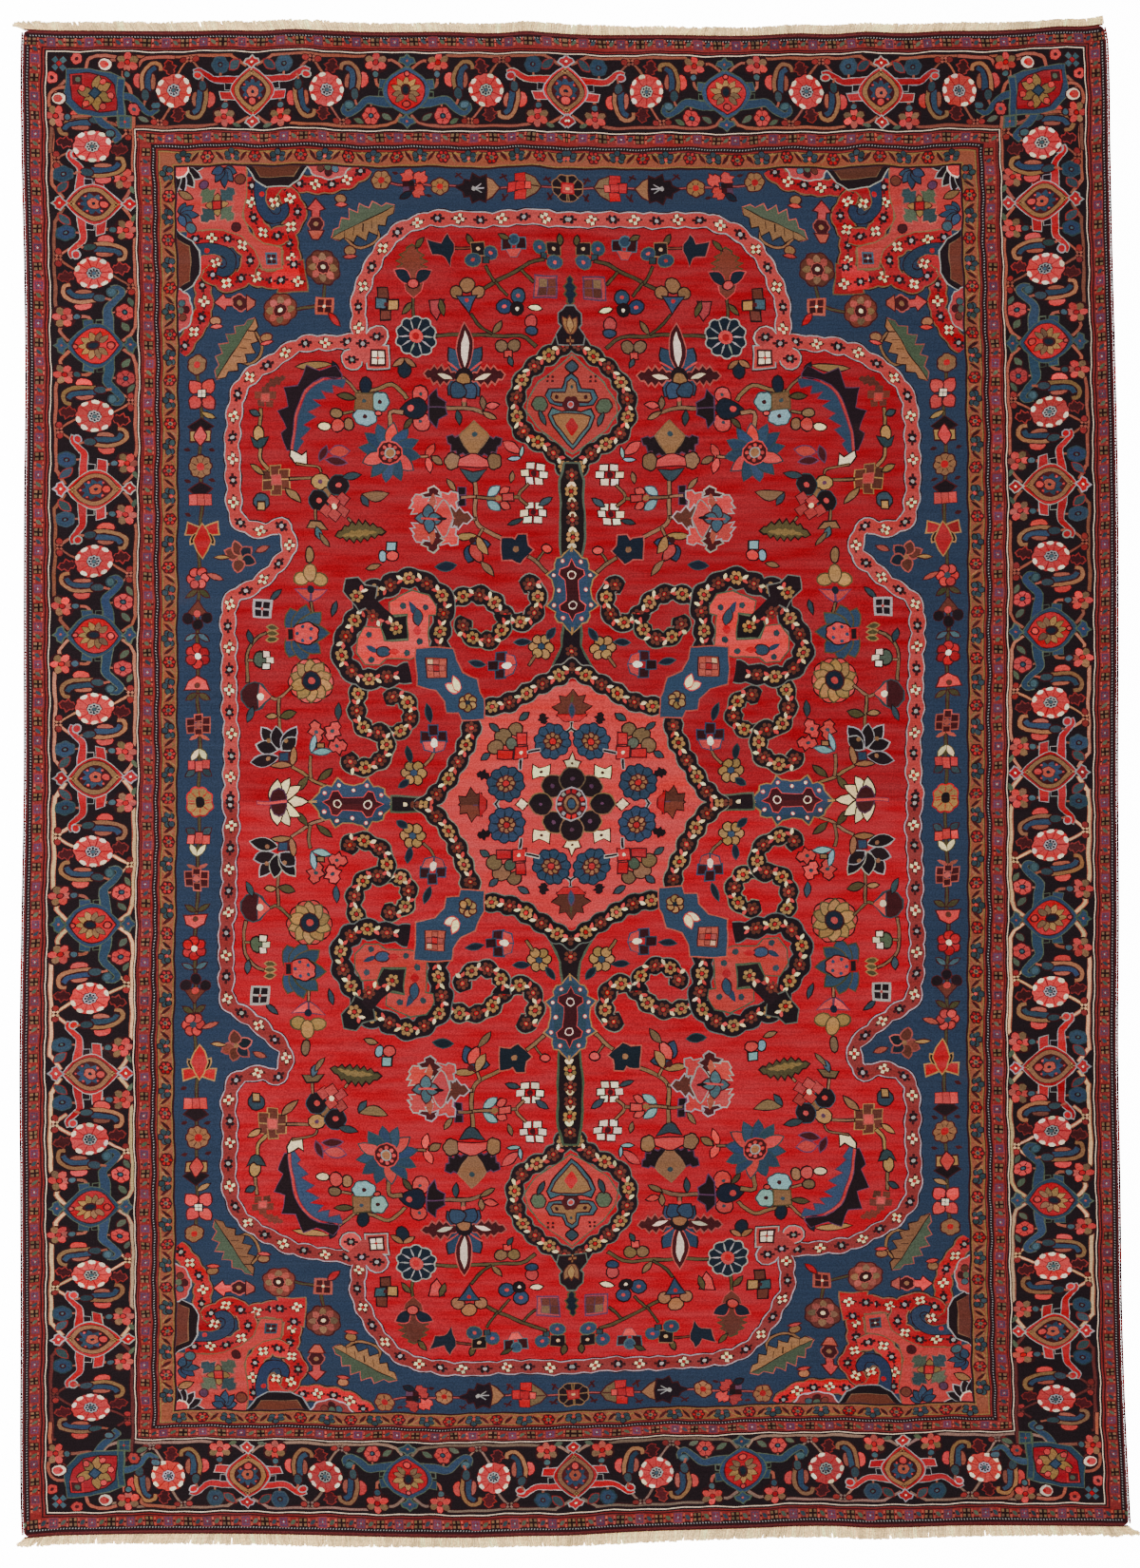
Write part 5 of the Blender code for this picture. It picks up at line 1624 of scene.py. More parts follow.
    # blue corner cartouche
    c.put([(39.4, 39.4), (30.0, 39.4), (29.6, 36.4), (28.0, 33.4), (24.2, 31.8), (23.2, 28.4), (22.2, 26.8),
        (22.2, 21.4), (27.8, 21.4), (28.4, 23.2), (31.6, 23.4), (32.0, 26.2), (34.6, 28.8), (39.2, 30.0)],
        "blue", "salmon")
    c.block(34.4, 34.4, 4.9, 4.7, "salmon", "maroon", rim=0.2)
    for dx, dy, wool in ((0, 1.5, "rose"), (1.5, 0, "rose"), (0, -1.5, "rose"), (-1.5, 0, "rose"),
            (1.5, 1.5, "pale"), (0, 0, "bright")):
        c.block(34.4 + dx, 34.4 + dy, 1.3, 1.2, wool, "maroon", rim=0.15)
    for turn in (20, 70):
        c.put(petal(28.8, 28.9, turn, 0, 3.6, 1.9), "cream", "coral", 0.25)
    c.ring(26.3, 25.8, 1.35, 6, 0.85, "straw", "maroon", 30)
    c.block(26.3, 25.8, 1.1, 1.1, "night")
    # on the coral ground
    for x, y, turn in ((0, 20.4, 0), (21.6, -1.2, -90)):
        c.place(x, y, turn)
        c.put([(0, 8.4), (1.3, 6.4), (3.0, 6.8), (2.6, 5.0), (4.9, 4.0), (3.2, 2.6), (3.6, 1.4), (-3.6, 1.4),
            (-3.2, 2.6), (-4.9, 4.0), (-2.6, 5.0), (-3.0, 6.8), (-1.3, 6.4)], "brown", "outline", 0.25)
        c.leaf(0, 3.0, 0, 7.4, 0.7, "olive", None)
        c.put([(3.9, 1.8), (1.8, 0.1), (-1.8, 0.1), (-3.9, 1.8)], "bright", "outline", 0.2)
        c.leaf(0, 1.2, 0, 4.6, 1.3, "blue", "mauve")
    c.home()
    c.stem(((0, 20.2), (0, 18.6), (1.8, 17.2)), 0.5, "black", "ice")
    c.stem(((21.2, -1.2), (19.8, -1.0), (18.4, 1.0)), 0.5, "black", "ice")
    for x, y in ((5.0, 15.2), (16.6, 4.7)):
        c.star(x, y, 4.6, 10, "blue", "night", "maroon", None, 10)
        c.ring(x, y, 1.55, 8, 0.62, "ochre", "maroon")
        c.disc(x, y, 0.75, "bright", "maroon")
    for x0, y0, x1, y1 in ((6.8, 19.6, 7.4, 22.8), (20.6, 6.6, 24.0, 7.4)):
        c.put(leaf(x0, y0, x1, y1, 2.8, 0, 2), "black", None)
    for x, y, r in ((14.4, 18.6, 1.6), (17.6, 16.8, 2.2), (19.5, 14.2, 1.8)):
        c.disc(x, y, r, "khaki", "outline", r * 0.95)
    c.disc(15.5, 15.0, 1.4, "moss", "outline")
    c.block(12.8, 16.2, 2.1, 2.7, "bright", "maroon")
    c.block(17.0, 12.2, 3.5, 1.9, "bright", "maroon")
    c.block(13.1, 12.6, 3.0, 3.0, "bright", "maroon")
    c.disc(13.1, 12.6, 0.45, "white")
    for x0, y0, x1, y1 in ((13.4, 20.8, 10.8, 22.6), (18.6, 18.4, 20.8, 20.0), (20.8, 12.6, 23.0, 11.0)):
        c.leaf(x0, y0, x1, y1, 1.5, "slate", "outline")
    c.stem(((11.4, 12.5), (8.2, 12.9)), 0.5, "black", "ice")
    c.stem(((13.0, 10.8), (12.9, 8.2)), 0.5, "black", "ice")
    c.put([(5.8, 9.0), (7.0, 8.4), (8.4, 8.2), (9.8, 9.0), (9.6, 5.8), (7.8, 6.2), (5.7, 5.8)], "cream",
        "maroon")
    c.disc(7.7, 7.3, 0.45, "maroon")
    c.put([(0, 12.0), (0.7, 10.2), (2.0, 9.8), (1.2, 8.2), (-1.2, 8.2), (-2.0, 9.8), (-0.7, 10.2)], "cream",
        "maroon")
    c.put(ogive(12.7, -1.3, 2.0, 2.0, 2.0, 0, 1.0), "cream", "maroon")
    for x, y in ((0, 9.3), (12.7, -1.3)):
        c.disc(x, y, 0.4, "maroon")
    for x, y, r in ((4.7, 3.5, 2.75), (7.8, -1.3, 3.0), (0, 5.3, 3.0)):
        c.put(scallop(x, y, r, 6, depth=0.08), "black", "khaki")
        c.disc(x, y, 0.6, "mauve", None)
    c.disc(0, -1.4, 3.9, "maroon", "ice", 4.1)
    for index in range(14):
        angle = math.radians(360 / 14 * index)
        c.block(3.1 * math.cos(angle), -1.4 + 3.3 * math.sin(angle), 1.0, 1.0,
            "bright" if index % 2 else "ice", None, math.degrees(angle))
    c.disc(0, -1.4, 2.0, "ochre", "maroon", 2.4)
    c.disc(0, -1.4, 1.0, "blue", "outline", 1.3)


def field(chart):
    """The blue ground and its corner, the scalloped band, and the red ground with the medallion."""
    chart.straighten = measured
    chart.limit = FIELD_EDGE
    corner_of_field(chart)
    ladder_flowers(chart)
    chart.lay(list(PINK_BAND) + [(PAST_MIDDLE, -5), (PAST_MIDDLE, 147.1)], "red")
    garland(chart, PINK_BAND, 3.4, "pink", BAND_LINES, white_and_dark, 5.45, 0.6, 0.62)
    for grown, wool in ((0.55, "outline"), (0.34, "ice"), (0.0, "pink")):
        chart.lay(disc(49.5, 117.9, 2.7 + grown), wool)
        chart.lay(disc(55.8, 112.3, 2.6 + grown), wool)
        chart.lay(block(49.2, 112.9, 5.2 + 2 * grown, 5.4 + 2 * grown), wool)
        chart.lay(block(52.8, 115.4, 6.6, 5.6, 45), wool)
    chart.square_cross(49.3, 112.8, 1.35, "white", "maroon", "bright")
    for x, y in ((55.8, 112.3), (49.5, 117.9), (53.2, 116.4)):
        white_and_dark(chart, 0, x, y, 0)
    red_field(chart)
    medallion(chart)
    chart.limit = None


# ---------------------------------------------------------------- charts of the two halves
def top_chart():
    """The upper half's quarter."""
    chart = Chart(seed=7)
    stripes(chart)
    chart.straighten = measured
    red_guard(chart, 135.15, 192.1, 136.0, 9.6, 183.0, 9.55)
    red_guard(chart, 107.5, 168.0, 106.3, 9.6, 164.4, 9.75)
    inner_guard(
        chart, 102.1, 163.2,
        (97.9, 85.8, 74.2, 62.5, 50.3, 38.3, 26.2, 14.0, 1.9),
        (159.0, 148.0, 136.0, 124.2, 112.6, 101.5, 89.8, 77.6, 65.4, 53.0, 41.2, 29.3, 18.2, 7.0, -4.6),
    )
    border_run(chart, False, (("corner", 120.0), ("rosette", 100.3), ("red", 80.6), ("rosette", 61.8),
        ("blue", 41.8), ("rosette", 21.9), ("red", 1.9), ("rosette", -17.5)), (("lattice", CHART_WIDTH),))
    border_run(chart, True, (("corner", 184.0), ("rosette", 165.9), ("red", 151.3), ("rosette", 133.9),
        ("blue", 115.5), ("rosette", 97.7), ("red", 79.2), ("rosette", 61.0), ("blue", 42.3),
        ("rosette", 23.8), ("red", 6.3), ("rosette", -12.3), ("blue", -31.0)),
        (("pale", 0), ("buff", 26), ("lattice", CHART_LENGTH)))
    border_corner(chart)
    border_edges(chart)
    field(chart)
    return chart


def bottom_chart():
    """The lower half's quarter, drawn with v downwards, its field after the upper half's."""
    chart = Chart(seed=8)
    stripes(chart)
    red_guard(chart, 135.15, 192.1, 135.6, 9.6, 181.0, 9.7)
    red_guard(chart, 107.5, 168.0, 107.6, 9.7, 163.0, 9.8)
    inner_guard(
        chart, 102.1, 163.2,
        (98.9, 86.5, 74.6, 62.0, 50.0, 37.0, 25.0, 12.2, 0.0),
        (156.6, 144.4, 131.8, 119.4, 107.8, 96.6, 85.0, 73.4, 61.8, 50.0, 39.0, 27.6, 15.8, 4.4),
    )
    border_run(chart, False, (("corner", 120.0), ("rosette", 102.0), ("red", 82.0), ("rosette", 62.5),
        ("blue", 41.8), ("rosette", 20.4), ("red", 0.0), ("rosette", -20.4)), (("taupe", CHART_WIDTH),))
    border_run(chart, True, (("corner", 178.0), ("rosette", 160.0), ("red", 140.5), ("rosette", 122.0),
        ("blue", 103.0), ("rosette", 85.3), ("red", 68.8), ("rosette", 49.7), ("blue", 31.0),
        ("rosette", 12.3), ("red", -6.3), ("rosette", -23.8)), (("pale", 135), ("dusky", CHART_LENGTH)))
    border_corner(chart)
    border_edges(chart)
    field(chart)
    return chart


# ---------------------------------------------------------------- meshes
RIM_WIDTH = 0.8
RIM_DROP = 0.0022
SWELL = 0.0003
DYE_LOT, DYE_TINT = 0.045, 0.02
BACK_FADE = 0.14
FADED_WOOL = (150, 128, 116)


def chart_edge():
    """The quarter's own outline: two middle lines, the side, the end, and a rounded corner."""
    angles = np.radians((0, 22.5, 45, 67.5, 90))
    middle_x, middle_y = CHART_WIDTH - CORNER, CHART_LENGTH - CORNER
    points = [(0.0, 0.0), (CHART_WIDTH, 0.0)]
    points += [(middle_x + CORNER * math.cos(a), middle_y + CORNER * math.sin(a)) for a in angles]
    points += [(0.0, CHART_LENGTH)]
    return split_long(np.array(points), 1.8)


def inside_outline(points, outline):
    """Which points an outline winds round: signed crossings of each point's level, summed."""
    x, y = points[:, :1], points[:, 1:]
    x0, y0 = outline[:, 0], outline[:, 1]
    x1, y1 = np.roll(x0, -1), np.roll(y0, -1)
    to_left = (x1 - x0) * (y - y0) - (x - x0) * (y1 - y0)
    upward = (y0 <= y) & (y1 > y) & (to_left > 0)
    downward = (y0 > y) & (y1 <= y) & (to_left < 0)
    return (upward.sum(axis=1) - downward.sum(axis=1)) != 0


def cut_up(places, edges):
    """Triangles that keep the edges, anticlockwise: points, corners, and each point's first source."""
    vertices, _, triangles, sources, _, _ = delaunay_2d_cdt(places, edges, [], 0, 1e-4, True)
    vertices = np.array([tuple(vertex) for vertex in vertices])
    corners = np.array(triangles)
    a, b, c = (vertices[corners[:, i]] for i in range(3))
    area = (b[:, 0] - a[:, 0]) * (c[:, 1] - a[:, 1]) - (b[:, 1] - a[:, 1]) * (c[:, 0] - a[:, 0])
    corners[area < 0] = corners[area < 0][:, ::-1]
    return vertices, corners, np.array([found[0] if found else -1 for found in sources])


def topmost_shapes(vertices, corners, outlines):
    """The triangles within the first outline, and the last of the other outlines that lies round each."""
    middles = vertices[corners].mean(axis=1)
    within = inside_outline(middles, outlines[0])
    corners, middles = corners[within], middles[within]
    order = np.argsort(middles[:, 0])
    corners, middles = corners[order], middles[order]
    topmost = np.zeros(len(corners), int)
    for shape, points in enumerate(outlines[1:]):
        low, high = points.min(axis=0), points.max(axis=0)
        first, last = np.searchsorted(middles[:, 0], (low[0], high[0]))
        level = middles[first:last, 1]
        near = first + np.flatnonzero((level > low[1]) & (level < high[1]))
        if len(near):
            topmost[near[inside_outline(middles[near], points)]] = shape
    return corners, topmost


def sides_of(corners, count):
    """All sides of the triangles in their direction: a key for each, and a key that both directions share."""
    start, stop = corners.ravel(), corners[:, (1, 2, 0)].ravel()
    return start * count + stop, np.minimum(start, stop) * count + np.maximum(start, stop)


def fill_chart(chart):
    """Triangles of the drawing: all outlines are cut into one another, and the edges that show are kept."""
    outlines = [chart_edge()] + [points for points, _, _ in chart.shapes]
    sizes = np.array([len(points) for points in outlines])
    starts = np.repeat(np.cumsum(sizes) - sizes, sizes)
    index = np.arange(sizes.sum())
    following = np.where(index + 1 - starts == np.repeat(sizes, sizes), starts, index + 1)
    places = [tuple(map(float, point)) for point in np.concatenate(outlines)]
    vertices, corners, _ = cut_up(places, np.column_stack((index, following)).tolist())
    corners, topmost = topmost_shapes(vertices, corners, outlines)

    # an edge shows where the triangles on its two sides belong to different shapes, or on the rim
    count = len(vertices)
    directed, shared = sides_of(corners, count)
    shape = np.repeat(topmost, 3)
    order = np.argsort(shared, kind="stable")
    twin = shared[order][1:] == shared[order][:-1]
    same = twin & (shape[order][1:] == shape[order][:-1])
    shows = np.ones(len(shared), bool)
    shows[order[1:][same]] = False
    shows[order[:-1][same]] = False
    edges = np.unique(shared[shows])
    used, kept = np.unique(np.column_stack((edges // count, edges % count)), return_inverse=True)
    places = [tuple(map(float, point)) for point in vertices[used]]
    plain, corners, sources = cut_up(places, kept.reshape(-1, 2).tolist())

    # each new triangle takes its shape from an edge that shows, or else from its neighbour
    known = np.argsort(directed[shows])
    keys, shapes = directed[shows][known], shape[shows][known]
    new_directed, new_shared = sides_of(used[sources[corners]], count)
    at = np.minimum(np.searchsorted(keys, new_directed), len(keys) - 1)
    topmost = np.where(keys[at] == new_directed, shapes[at], -1).reshape(-1, 3).max(axis=1)
    order = np.argsort(new_shared, kind="stable")
    twin = new_shared[order][1:] == new_shared[order][:-1]
    first, second = order[:-1][twin] // 3, order[1:][twin] // 3
    while np.any(topmost < 0):
        before = np.count_nonzero(topmost < 0)
        for here, there in ((first, second), (second, first)):
            take = (topmost[here] < 0) & (topmost[there] >= 0)
            topmost[here[take]] = topmost[there[take]]
        if np.count_nonzero(topmost < 0) == before:
            break
    return plain, corners, np.maximum(topmost, 0)


def wool_colours(chart, topmost, faded):
    """Each triangle's colour: its shape's wool with the small change of its own dye lot."""
    colours = np.array([WOOL[wool] for _, wool, _ in chart.shapes], float)
    shades = np.array([shade for _, _, shade in chart.shapes])
    colours = colours * (1 + DYE_LOT * shades[:, :1] + DYE_TINT * shades * (1, 0.8, 1.2))
    if faded:
        colours = (1 - BACK_FADE) * colours + BACK_FADE * np.array(FADED_WOOL)
    return np.clip(dyed(np.clip(colours[topmost], 1, 255)), 0, 1)


def mesh_from(name, points, triangles):
    """A mesh from arrays of points and triangles."""
    mesh = bpy.data.meshes.new(name)
    mesh.vertices.add(len(points))
    mesh.vertices.foreach_set("co", np.asarray(points, np.float32).ravel())
    mesh.loops.add(3 * len(triangles))
    mesh.loops.foreach_set("vertex_index", np.asarray(triangles, np.int32).ravel())
    mesh.polygons.add(len(triangles))
    mesh.polygons.foreach_set("loop_start", np.arange(0, 3 * len(triangles), 3, dtype=np.int32))
    mesh.update(calc_edges=True)
    mesh.validate()
    mesh.shade_flat()
    return mesh


def add_piece(name, mesh, slot, *replaced):
    """Link a finished mesh as a piece that rides on the rug."""
    piece = bpy.data.objects.new(name, mesh)
    bpy.context.scene.collection.objects.link(piece)
    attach(piece, "root")
    if replaced:
        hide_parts(*replaced)
    return piece


def pile_height(u, v, x, y):
    """The pile's top: full height, rounded down at the rims, with a slow swell of half a millimetre."""
    to_rim = np.clip(np.minimum(CHART_WIDTH - u, CHART_LENGTH - v) / RIM_WIDTH, 0, 1)
    swell = SWELL * (np.sin(9 * x + 2 * np.sin(5 * y)) + np.sin(7 * y + 1.3 * np.sin(6 * x)))
    return PILE_TOP - RIM_DROP * (1 - to_rim) ** 2 + swell * to_rim


def outline_run(u, v):
    """How far round the quarter's outline a rim point lies, from the middle anticlockwise."""
    past_corner = CORNER + 0.1
    on_side, on_end = u > CHART_WIDTH - past_corner, v > CHART_LENGTH - past_corner
    corner_turn = np.arctan2(v - CHART_LENGTH + CORNER, u - CHART_WIDTH + CORNER)
    run = np.where(v < 1e-3, u, np.where(on_side, 1000 + v, np.where(on_end, 3000 - u, 4000 - v)))
    return np.where(on_side & on_end, 2000 + corner_turn, run)


def rim_loop(places, corners):
    """The points on a filled quarter's rim, in order round it."""
    count = len(places)
    edges = np.concatenate((corners[:, (0, 1)], corners[:, (1, 2)], corners[:, (2, 0)]))
    keys = np.minimum(edges[:, 0], edges[:, 1]) * count + np.maximum(edges[:, 0], edges[:, 1])
    _, first, uses = np.unique(keys, return_index=True, return_counts=True)
    rim = np.unique(edges[first[uses == 1]])
    run = outline_run(places[rim, 0], places[rim, 1])
    order = np.argsort(run)
    return rim[order], run[order]


def zip_walls(top, top_run, back, back_run):
    """Triangles between two loops whose points stand at different places: the nearer next point is taken,
    so the steps of both loops, sorted by where they end, say how far each loop has come."""
    closing = 9000.0
    next_run = np.concatenate((top_run[1:], (closing,), back_run[1:], (closing,)))
    is_top = np.arange(len(next_run)) < len(top)
    steps = is_top[np.argsort(next_run, kind="stable")]
    i = np.cumsum(steps) - steps
    j = np.cumsum(~steps) - ~steps
    ahead = np.where(steps, top[(i + 1) % len(top)], back[(j + 1) % len(back)])
    return np.column_stack((top[i % len(top)], back[j % len(back)], ahead))


def pile_quarter(name, chart, filled, back_chart, back_filled, side, end):
    """One quarter of the pile: a closed mesh, the drawing on its top and, paler and plainer, on its back."""
    heights, faces, colours, loops, start = [], [], [], [], 0
    for each, (places, corners, topmost), is_back in ((chart, filled, False),
            (back_chart, back_filled, True)):
        u, v = places[:, 0], places[:, 1]
        plain_x, plain_y = station_values(ACROSS[side], u), station_values(ALONG[end], v)
        x, y = on_rug(*hand_wander(plain_x, plain_y))
        z = np.zeros(len(u)) if is_back else pile_height(u, v, x, y)
        heights.append(np.column_stack((x, y, z)))
        faces.append((corners[:, ::-1] if is_back else corners) + start)
        colours.append(wool_colours(each, topmost, is_back))
        rim, run = rim_loop(places, corners)
        loops.append((rim + start, run))
        start += len(u)
    walls = zip_walls(*loops[0], *loops[1])
    triangles = np.concatenate((*faces, walls))
    if side * end < 0:
        triangles = triangles[:, ::-1]
    edge_wool = np.tile(dyed(WOOL["edge"]), (len(walls), 1))
    mesh = mesh_from(name, np.concatenate(heights), triangles)
    layer = mesh.color_attributes.new("wool", "BYTE_COLOR", "CORNER")
    rgba = np.ones((len(triangles), 3, 4), np.float32)
    rgba[:, :, :3] = np.concatenate((*colours, edge_wool))[:, None, :]
    layer.data.foreach_set("color_srgb", rgba.ravel())
    return add_piece(name, mesh, "pile_wool")


def plainer(chart):
    """The drawing without its smallest motifs, for the back."""
    coarse = Chart(seed=9)
    coarse.shapes = [shape for shape in chart.shapes if min(np.ptp(shape[0], axis=0)) > SMALLEST_ON_BACK]
    return coarse


charts = {TOP: top_chart(), BOTTOM: bottom_chart()}
backs = {end: plainer(chart) for end, chart in charts.items()}
filled = {end: fill_chart(chart) for end, chart in charts.items()}
back_filled = {end: fill_chart(chart) for end, chart in backs.items()}
pile = []
for end, end_name in ((TOP, "upper"), (BOTTOM, "lower")):
    for side, side_name in ((LEFT, "left"), (RIGHT, "right")):
        name = f"pile_{end_name}_{side_name}"
        pile.append(pile_quarter(name, charts[end], filled[end], backs[end], back_filled[end], side, end))


# ---------------------------------------------------------------- materials
def new_material(name):
    """A principled material, its nodes, its links and its shader."""
    made = bpy.data.materials.new(name)
    made.use_nodes = True
    return made, made.node_tree.nodes, made.node_tree.links, made.node_tree.nodes["Principled BSDF"]


def knotted_wool():
    """Pile wool: the drawing's colours with rows of knots, streaks along the weft, and old wear."""
    made, nodes, links, shader = new_material("knotted_wool")
    place = nodes.new("ShaderNodeTexCoord").outputs["Object"]
    wool = nodes.new("ShaderNodeVertexColor")
    wool.layer_name = "wool"

    def noise(scale, size, detail, low, high):
        """Noise stretched by a scale per axis, brought into a range of brightness."""
        mapping = nodes.new("ShaderNodeMapping")
        mapping.inputs["Scale"].default_value = scale
        links.new(place, mapping.inputs["Vector"])
        texture = nodes.new("ShaderNodeTexNoise")
        texture.inputs["Scale"].default_value = size
        texture.inputs["Detail"].default_value = detail
        links.new(mapping.outputs[0], texture.inputs["Vector"])
        spread = nodes.new("ShaderNodeMapRange")
        spread.inputs["From Min"].default_value = 0.3
        spread.inputs["From Max"].default_value = 0.7
        spread.inputs["To Min"].default_value = low
        spread.inputs["To Max"].default_value = high
        links.new(texture.outputs["Fac"], spread.inputs["Value"])
        return spread.outputs[0]

    def product(first, second):
        """Two values multiplied."""
        node = nodes.new("ShaderNodeMath")
        node.operation = "MULTIPLY"
        links.new(first, node.inputs[0])
        links.new(second, node.inputs[1])
        return node.outputs[0]

    streaks = noise((1.2, 60.0, 1.0), 1.6, 3.0, 0.97, 1.03)
    rows = noise((4.0, 210.0, 4.0), 1.0, 1.0, 0.90, 1.10)
    blotches = noise((1.0, 1.0, 1.0), 3.2, 2.0, 0.95, 1.05)
    knots = noise((1.0, 1.15, 1.0), 270.0, 1.0, 0.72, 1.28)
    value = product(product(product(streaks, rows), blotches), knots)
    tone = nodes.new("ShaderNodeHueSaturation")
    links.new(wool.outputs["Color"], tone.inputs["Color"])
    links.new(value, tone.inputs["Value"])
    links.new(noise((1.0, 6.0, 1.0), 6.0, 2.0, 0.96, 1.03), tone.inputs["Saturation"])
    worn = product(noise((1.0, 1.6, 1.0), 2.2, 3.0, -0.6, 0.07), noise((1.0, 2.0, 1.0), 150.0, 2.0, 0.0, 1.0))
    mix = nodes.new("ShaderNodeMix")
    mix.data_type = "RGBA"
    mix.clamp_factor = True
    links.new(worn, mix.inputs["Factor"])
    links.new(tone.outputs["Color"], mix.inputs["A"])
    mix.inputs["B"].default_value = (0.16, 0.068, 0.048, 1)
    links.new(mix.outputs["Result"], shader.inputs["Base Color"])
    shader.inputs["Roughness"].default_value = 0.88
    shader.inputs["Specular IOR Level"].default_value = 0.06
    bump = nodes.new("ShaderNodeBump")
    bump.inputs["Strength"].default_value = 0.35
    bump.inputs["Distance"].default_value = 0.001
    links.new(knots, bump.inputs["Height"])
    links.new(bump.outputs["Normal"], shader.inputs["Normal"])
    return made


# ---------------------------------------------------------------- fringes and overcast sides
Lock = namedtuple("Lock", "across lean length")
TOP_LOCKS = (
    Lock(-1.38, -72, 0.037), Lock(-1.35, -42, 0.029), Lock(-1.28, -22, 0.027), Lock(-1.10, -30, 0.029),
    Lock(-0.90, -18, 0.028), Lock(-0.70, -34, 0.031), Lock(-0.50, -12, 0.027), Lock(-0.25, -22, 0.029),
    Lock(-0.08, 10, 0.029), Lock(0.10, 4, 0.029), Lock(0.22, -20, 0.026), Lock(0.26, 22, 0.027),
    Lock(0.45, 0, 0.025), Lock(0.62, 14, 0.027), Lock(0.85, 28, 0.028), Lock(1.10, 24, 0.026),
    Lock(1.25, 12, 0.023), Lock(1.38, -4, 0.024),
)
BOTTOM_LOCKS = (
    Lock(-1.38, -50, 0.033), Lock(-1.32, -24, 0.029), Lock(-1.10, -10, 0.029), Lock(-0.95, -22, 0.032),
    Lock(-0.85, 8, 0.032), Lock(-0.65, 10, 0.033), Lock(-0.40, 0, 0.029), Lock(-0.10, 14, 0.031),
    Lock(0.15, -6, 0.033), Lock(0.35, -16, 0.031), Lock(0.60, 2, 0.033), Lock(0.90, 6, 0.032),
    Lock(1.15, 20, 0.031), Lock(1.30, 34, 0.031), Lock(1.38, 62, 0.041),
)
YARNS = 880
STRANDS_IN_YARN = 3
SIDES_OF_STRAND = 3
STRAND_STEPS = 5
STRIP_COLUMNS = 700


def tubes(centres, radii, corners):
    """Closed tubes: centres are runs of points, radii one per point; a ring of corners lies
    across its run at each point, and a flat fan closes each end."""
    runs, steps, _ = centres.shape
    ahead = np.gradient(centres, axis=1)
    ahead /= np.maximum(np.linalg.norm(ahead, axis=2, keepdims=True), 1e-9)
    up = np.zeros_like(ahead)
    up[:, :, 2] = 1.0
    side = np.cross(ahead, up)
    side /= np.maximum(np.linalg.norm(side, axis=2, keepdims=True), 1e-9)
    over = np.cross(side, ahead)
    around = 2 * np.pi * np.arange(corners) / corners + np.pi / 2
    ring = side[:, :, None] * np.cos(around)[:, None] + over[:, :, None] * np.sin(around)[:, None]
    points = (centres[:, :, None] + ring * radii[:, :, None, None]).reshape(-1, 3)
    first = np.arange(runs)[:, None, None] * steps * corners + np.arange(steps - 1)[:, None] * corners
    here = first + np.arange(corners)
    beside = first + (np.arange(corners) + 1) % corners
    walls = np.concatenate((
        np.stack((here, here + corners, beside), axis=-1).reshape(-1, 3),
        np.stack((beside, here + corners, beside + corners), axis=-1).reshape(-1, 3),
    ))
    base = np.arange(runs)[:, None] * steps * corners
    fan = np.arange(1, corners - 1)
    start = np.stack((base + 0 * fan, base + fan, base + fan + 1), axis=-1).reshape(-1, 3)
    tip = base + (steps - 1) * corners
    end = np.stack((tip + 0 * fan, tip + fan + 1, tip + fan), axis=-1).reshape(-1, 3)
    return points, np.concatenate((walls, start, end))


def coloured(mesh, colours):
    """Give a mesh one colour per point, as its wool attribute."""
    layer = mesh.color_attributes.new("wool", "BYTE_COLOR", "CORNER")
    corner_points = np.empty(len(mesh.loops), np.int32)
    mesh.loops.foreach_get("vertex_index", corner_points)
    rgba = np.ones((len(mesh.loops), 4), np.float32)
    rgba[:, :3] = colours[corner_points]
    layer.data.foreach_set("color_srgb", rgba.ravel())


def end_strip(end):
    """The woven strip at one end: a profile of corners (out, up) carried along the end, its height ribbed
    from column to column, and closed at both tips. Its points, its triangles and its colours."""
    across = np.linspace(-HALF_WIDTH + 0.001, HALF_WIDTH - 0.001, STRIP_COLUMNS)
    x, y = on_rug(across, np.full(STRIP_COLUMNS, end * HALF_LENGTH))
    rib = 0.0022 + 0.0004 * (np.arange(STRIP_COLUMNS) % 2)
    profile = ((0.0004, 0.0), (0.0004, 1.0), (0.0026, 1.12), (0.0050, 0.9), (0.0050, 0.0))
    points = np.concatenate([np.column_stack((x, y + end * out, 0.0002 + rib * up)) for out, up in profile])
    sides = len(profile)
    column = np.arange(STRIP_COLUMNS - 1)
    band = []
    for row in range(sides):
        a, b = row * STRIP_COLUMNS + column, ((row + 1) % sides) * STRIP_COLUMNS + column
        band += [np.column_stack((a, b, a + 1)), np.column_stack((b, b + 1, a + 1))]
    for at, order in ((0, 1), (STRIP_COLUMNS - 1, -1)):
        corners = [row * STRIP_COLUMNS + at for row in range(sides)][::order]
        band.append(np.array([(corners[0], corners[i + 1], corners[i]) for i in range(1, sides - 1)]))
    band = np.concatenate(band)
    if end == TOP:
        band = band[:, ::-1]
    bands = np.where(np.arange(STRIP_COLUMNS) % 3 == 0, 0.78, 0.95)
    return points, band, np.tile(dyed(WOOL["edge"]) * bands[:, None], (sides, 1))


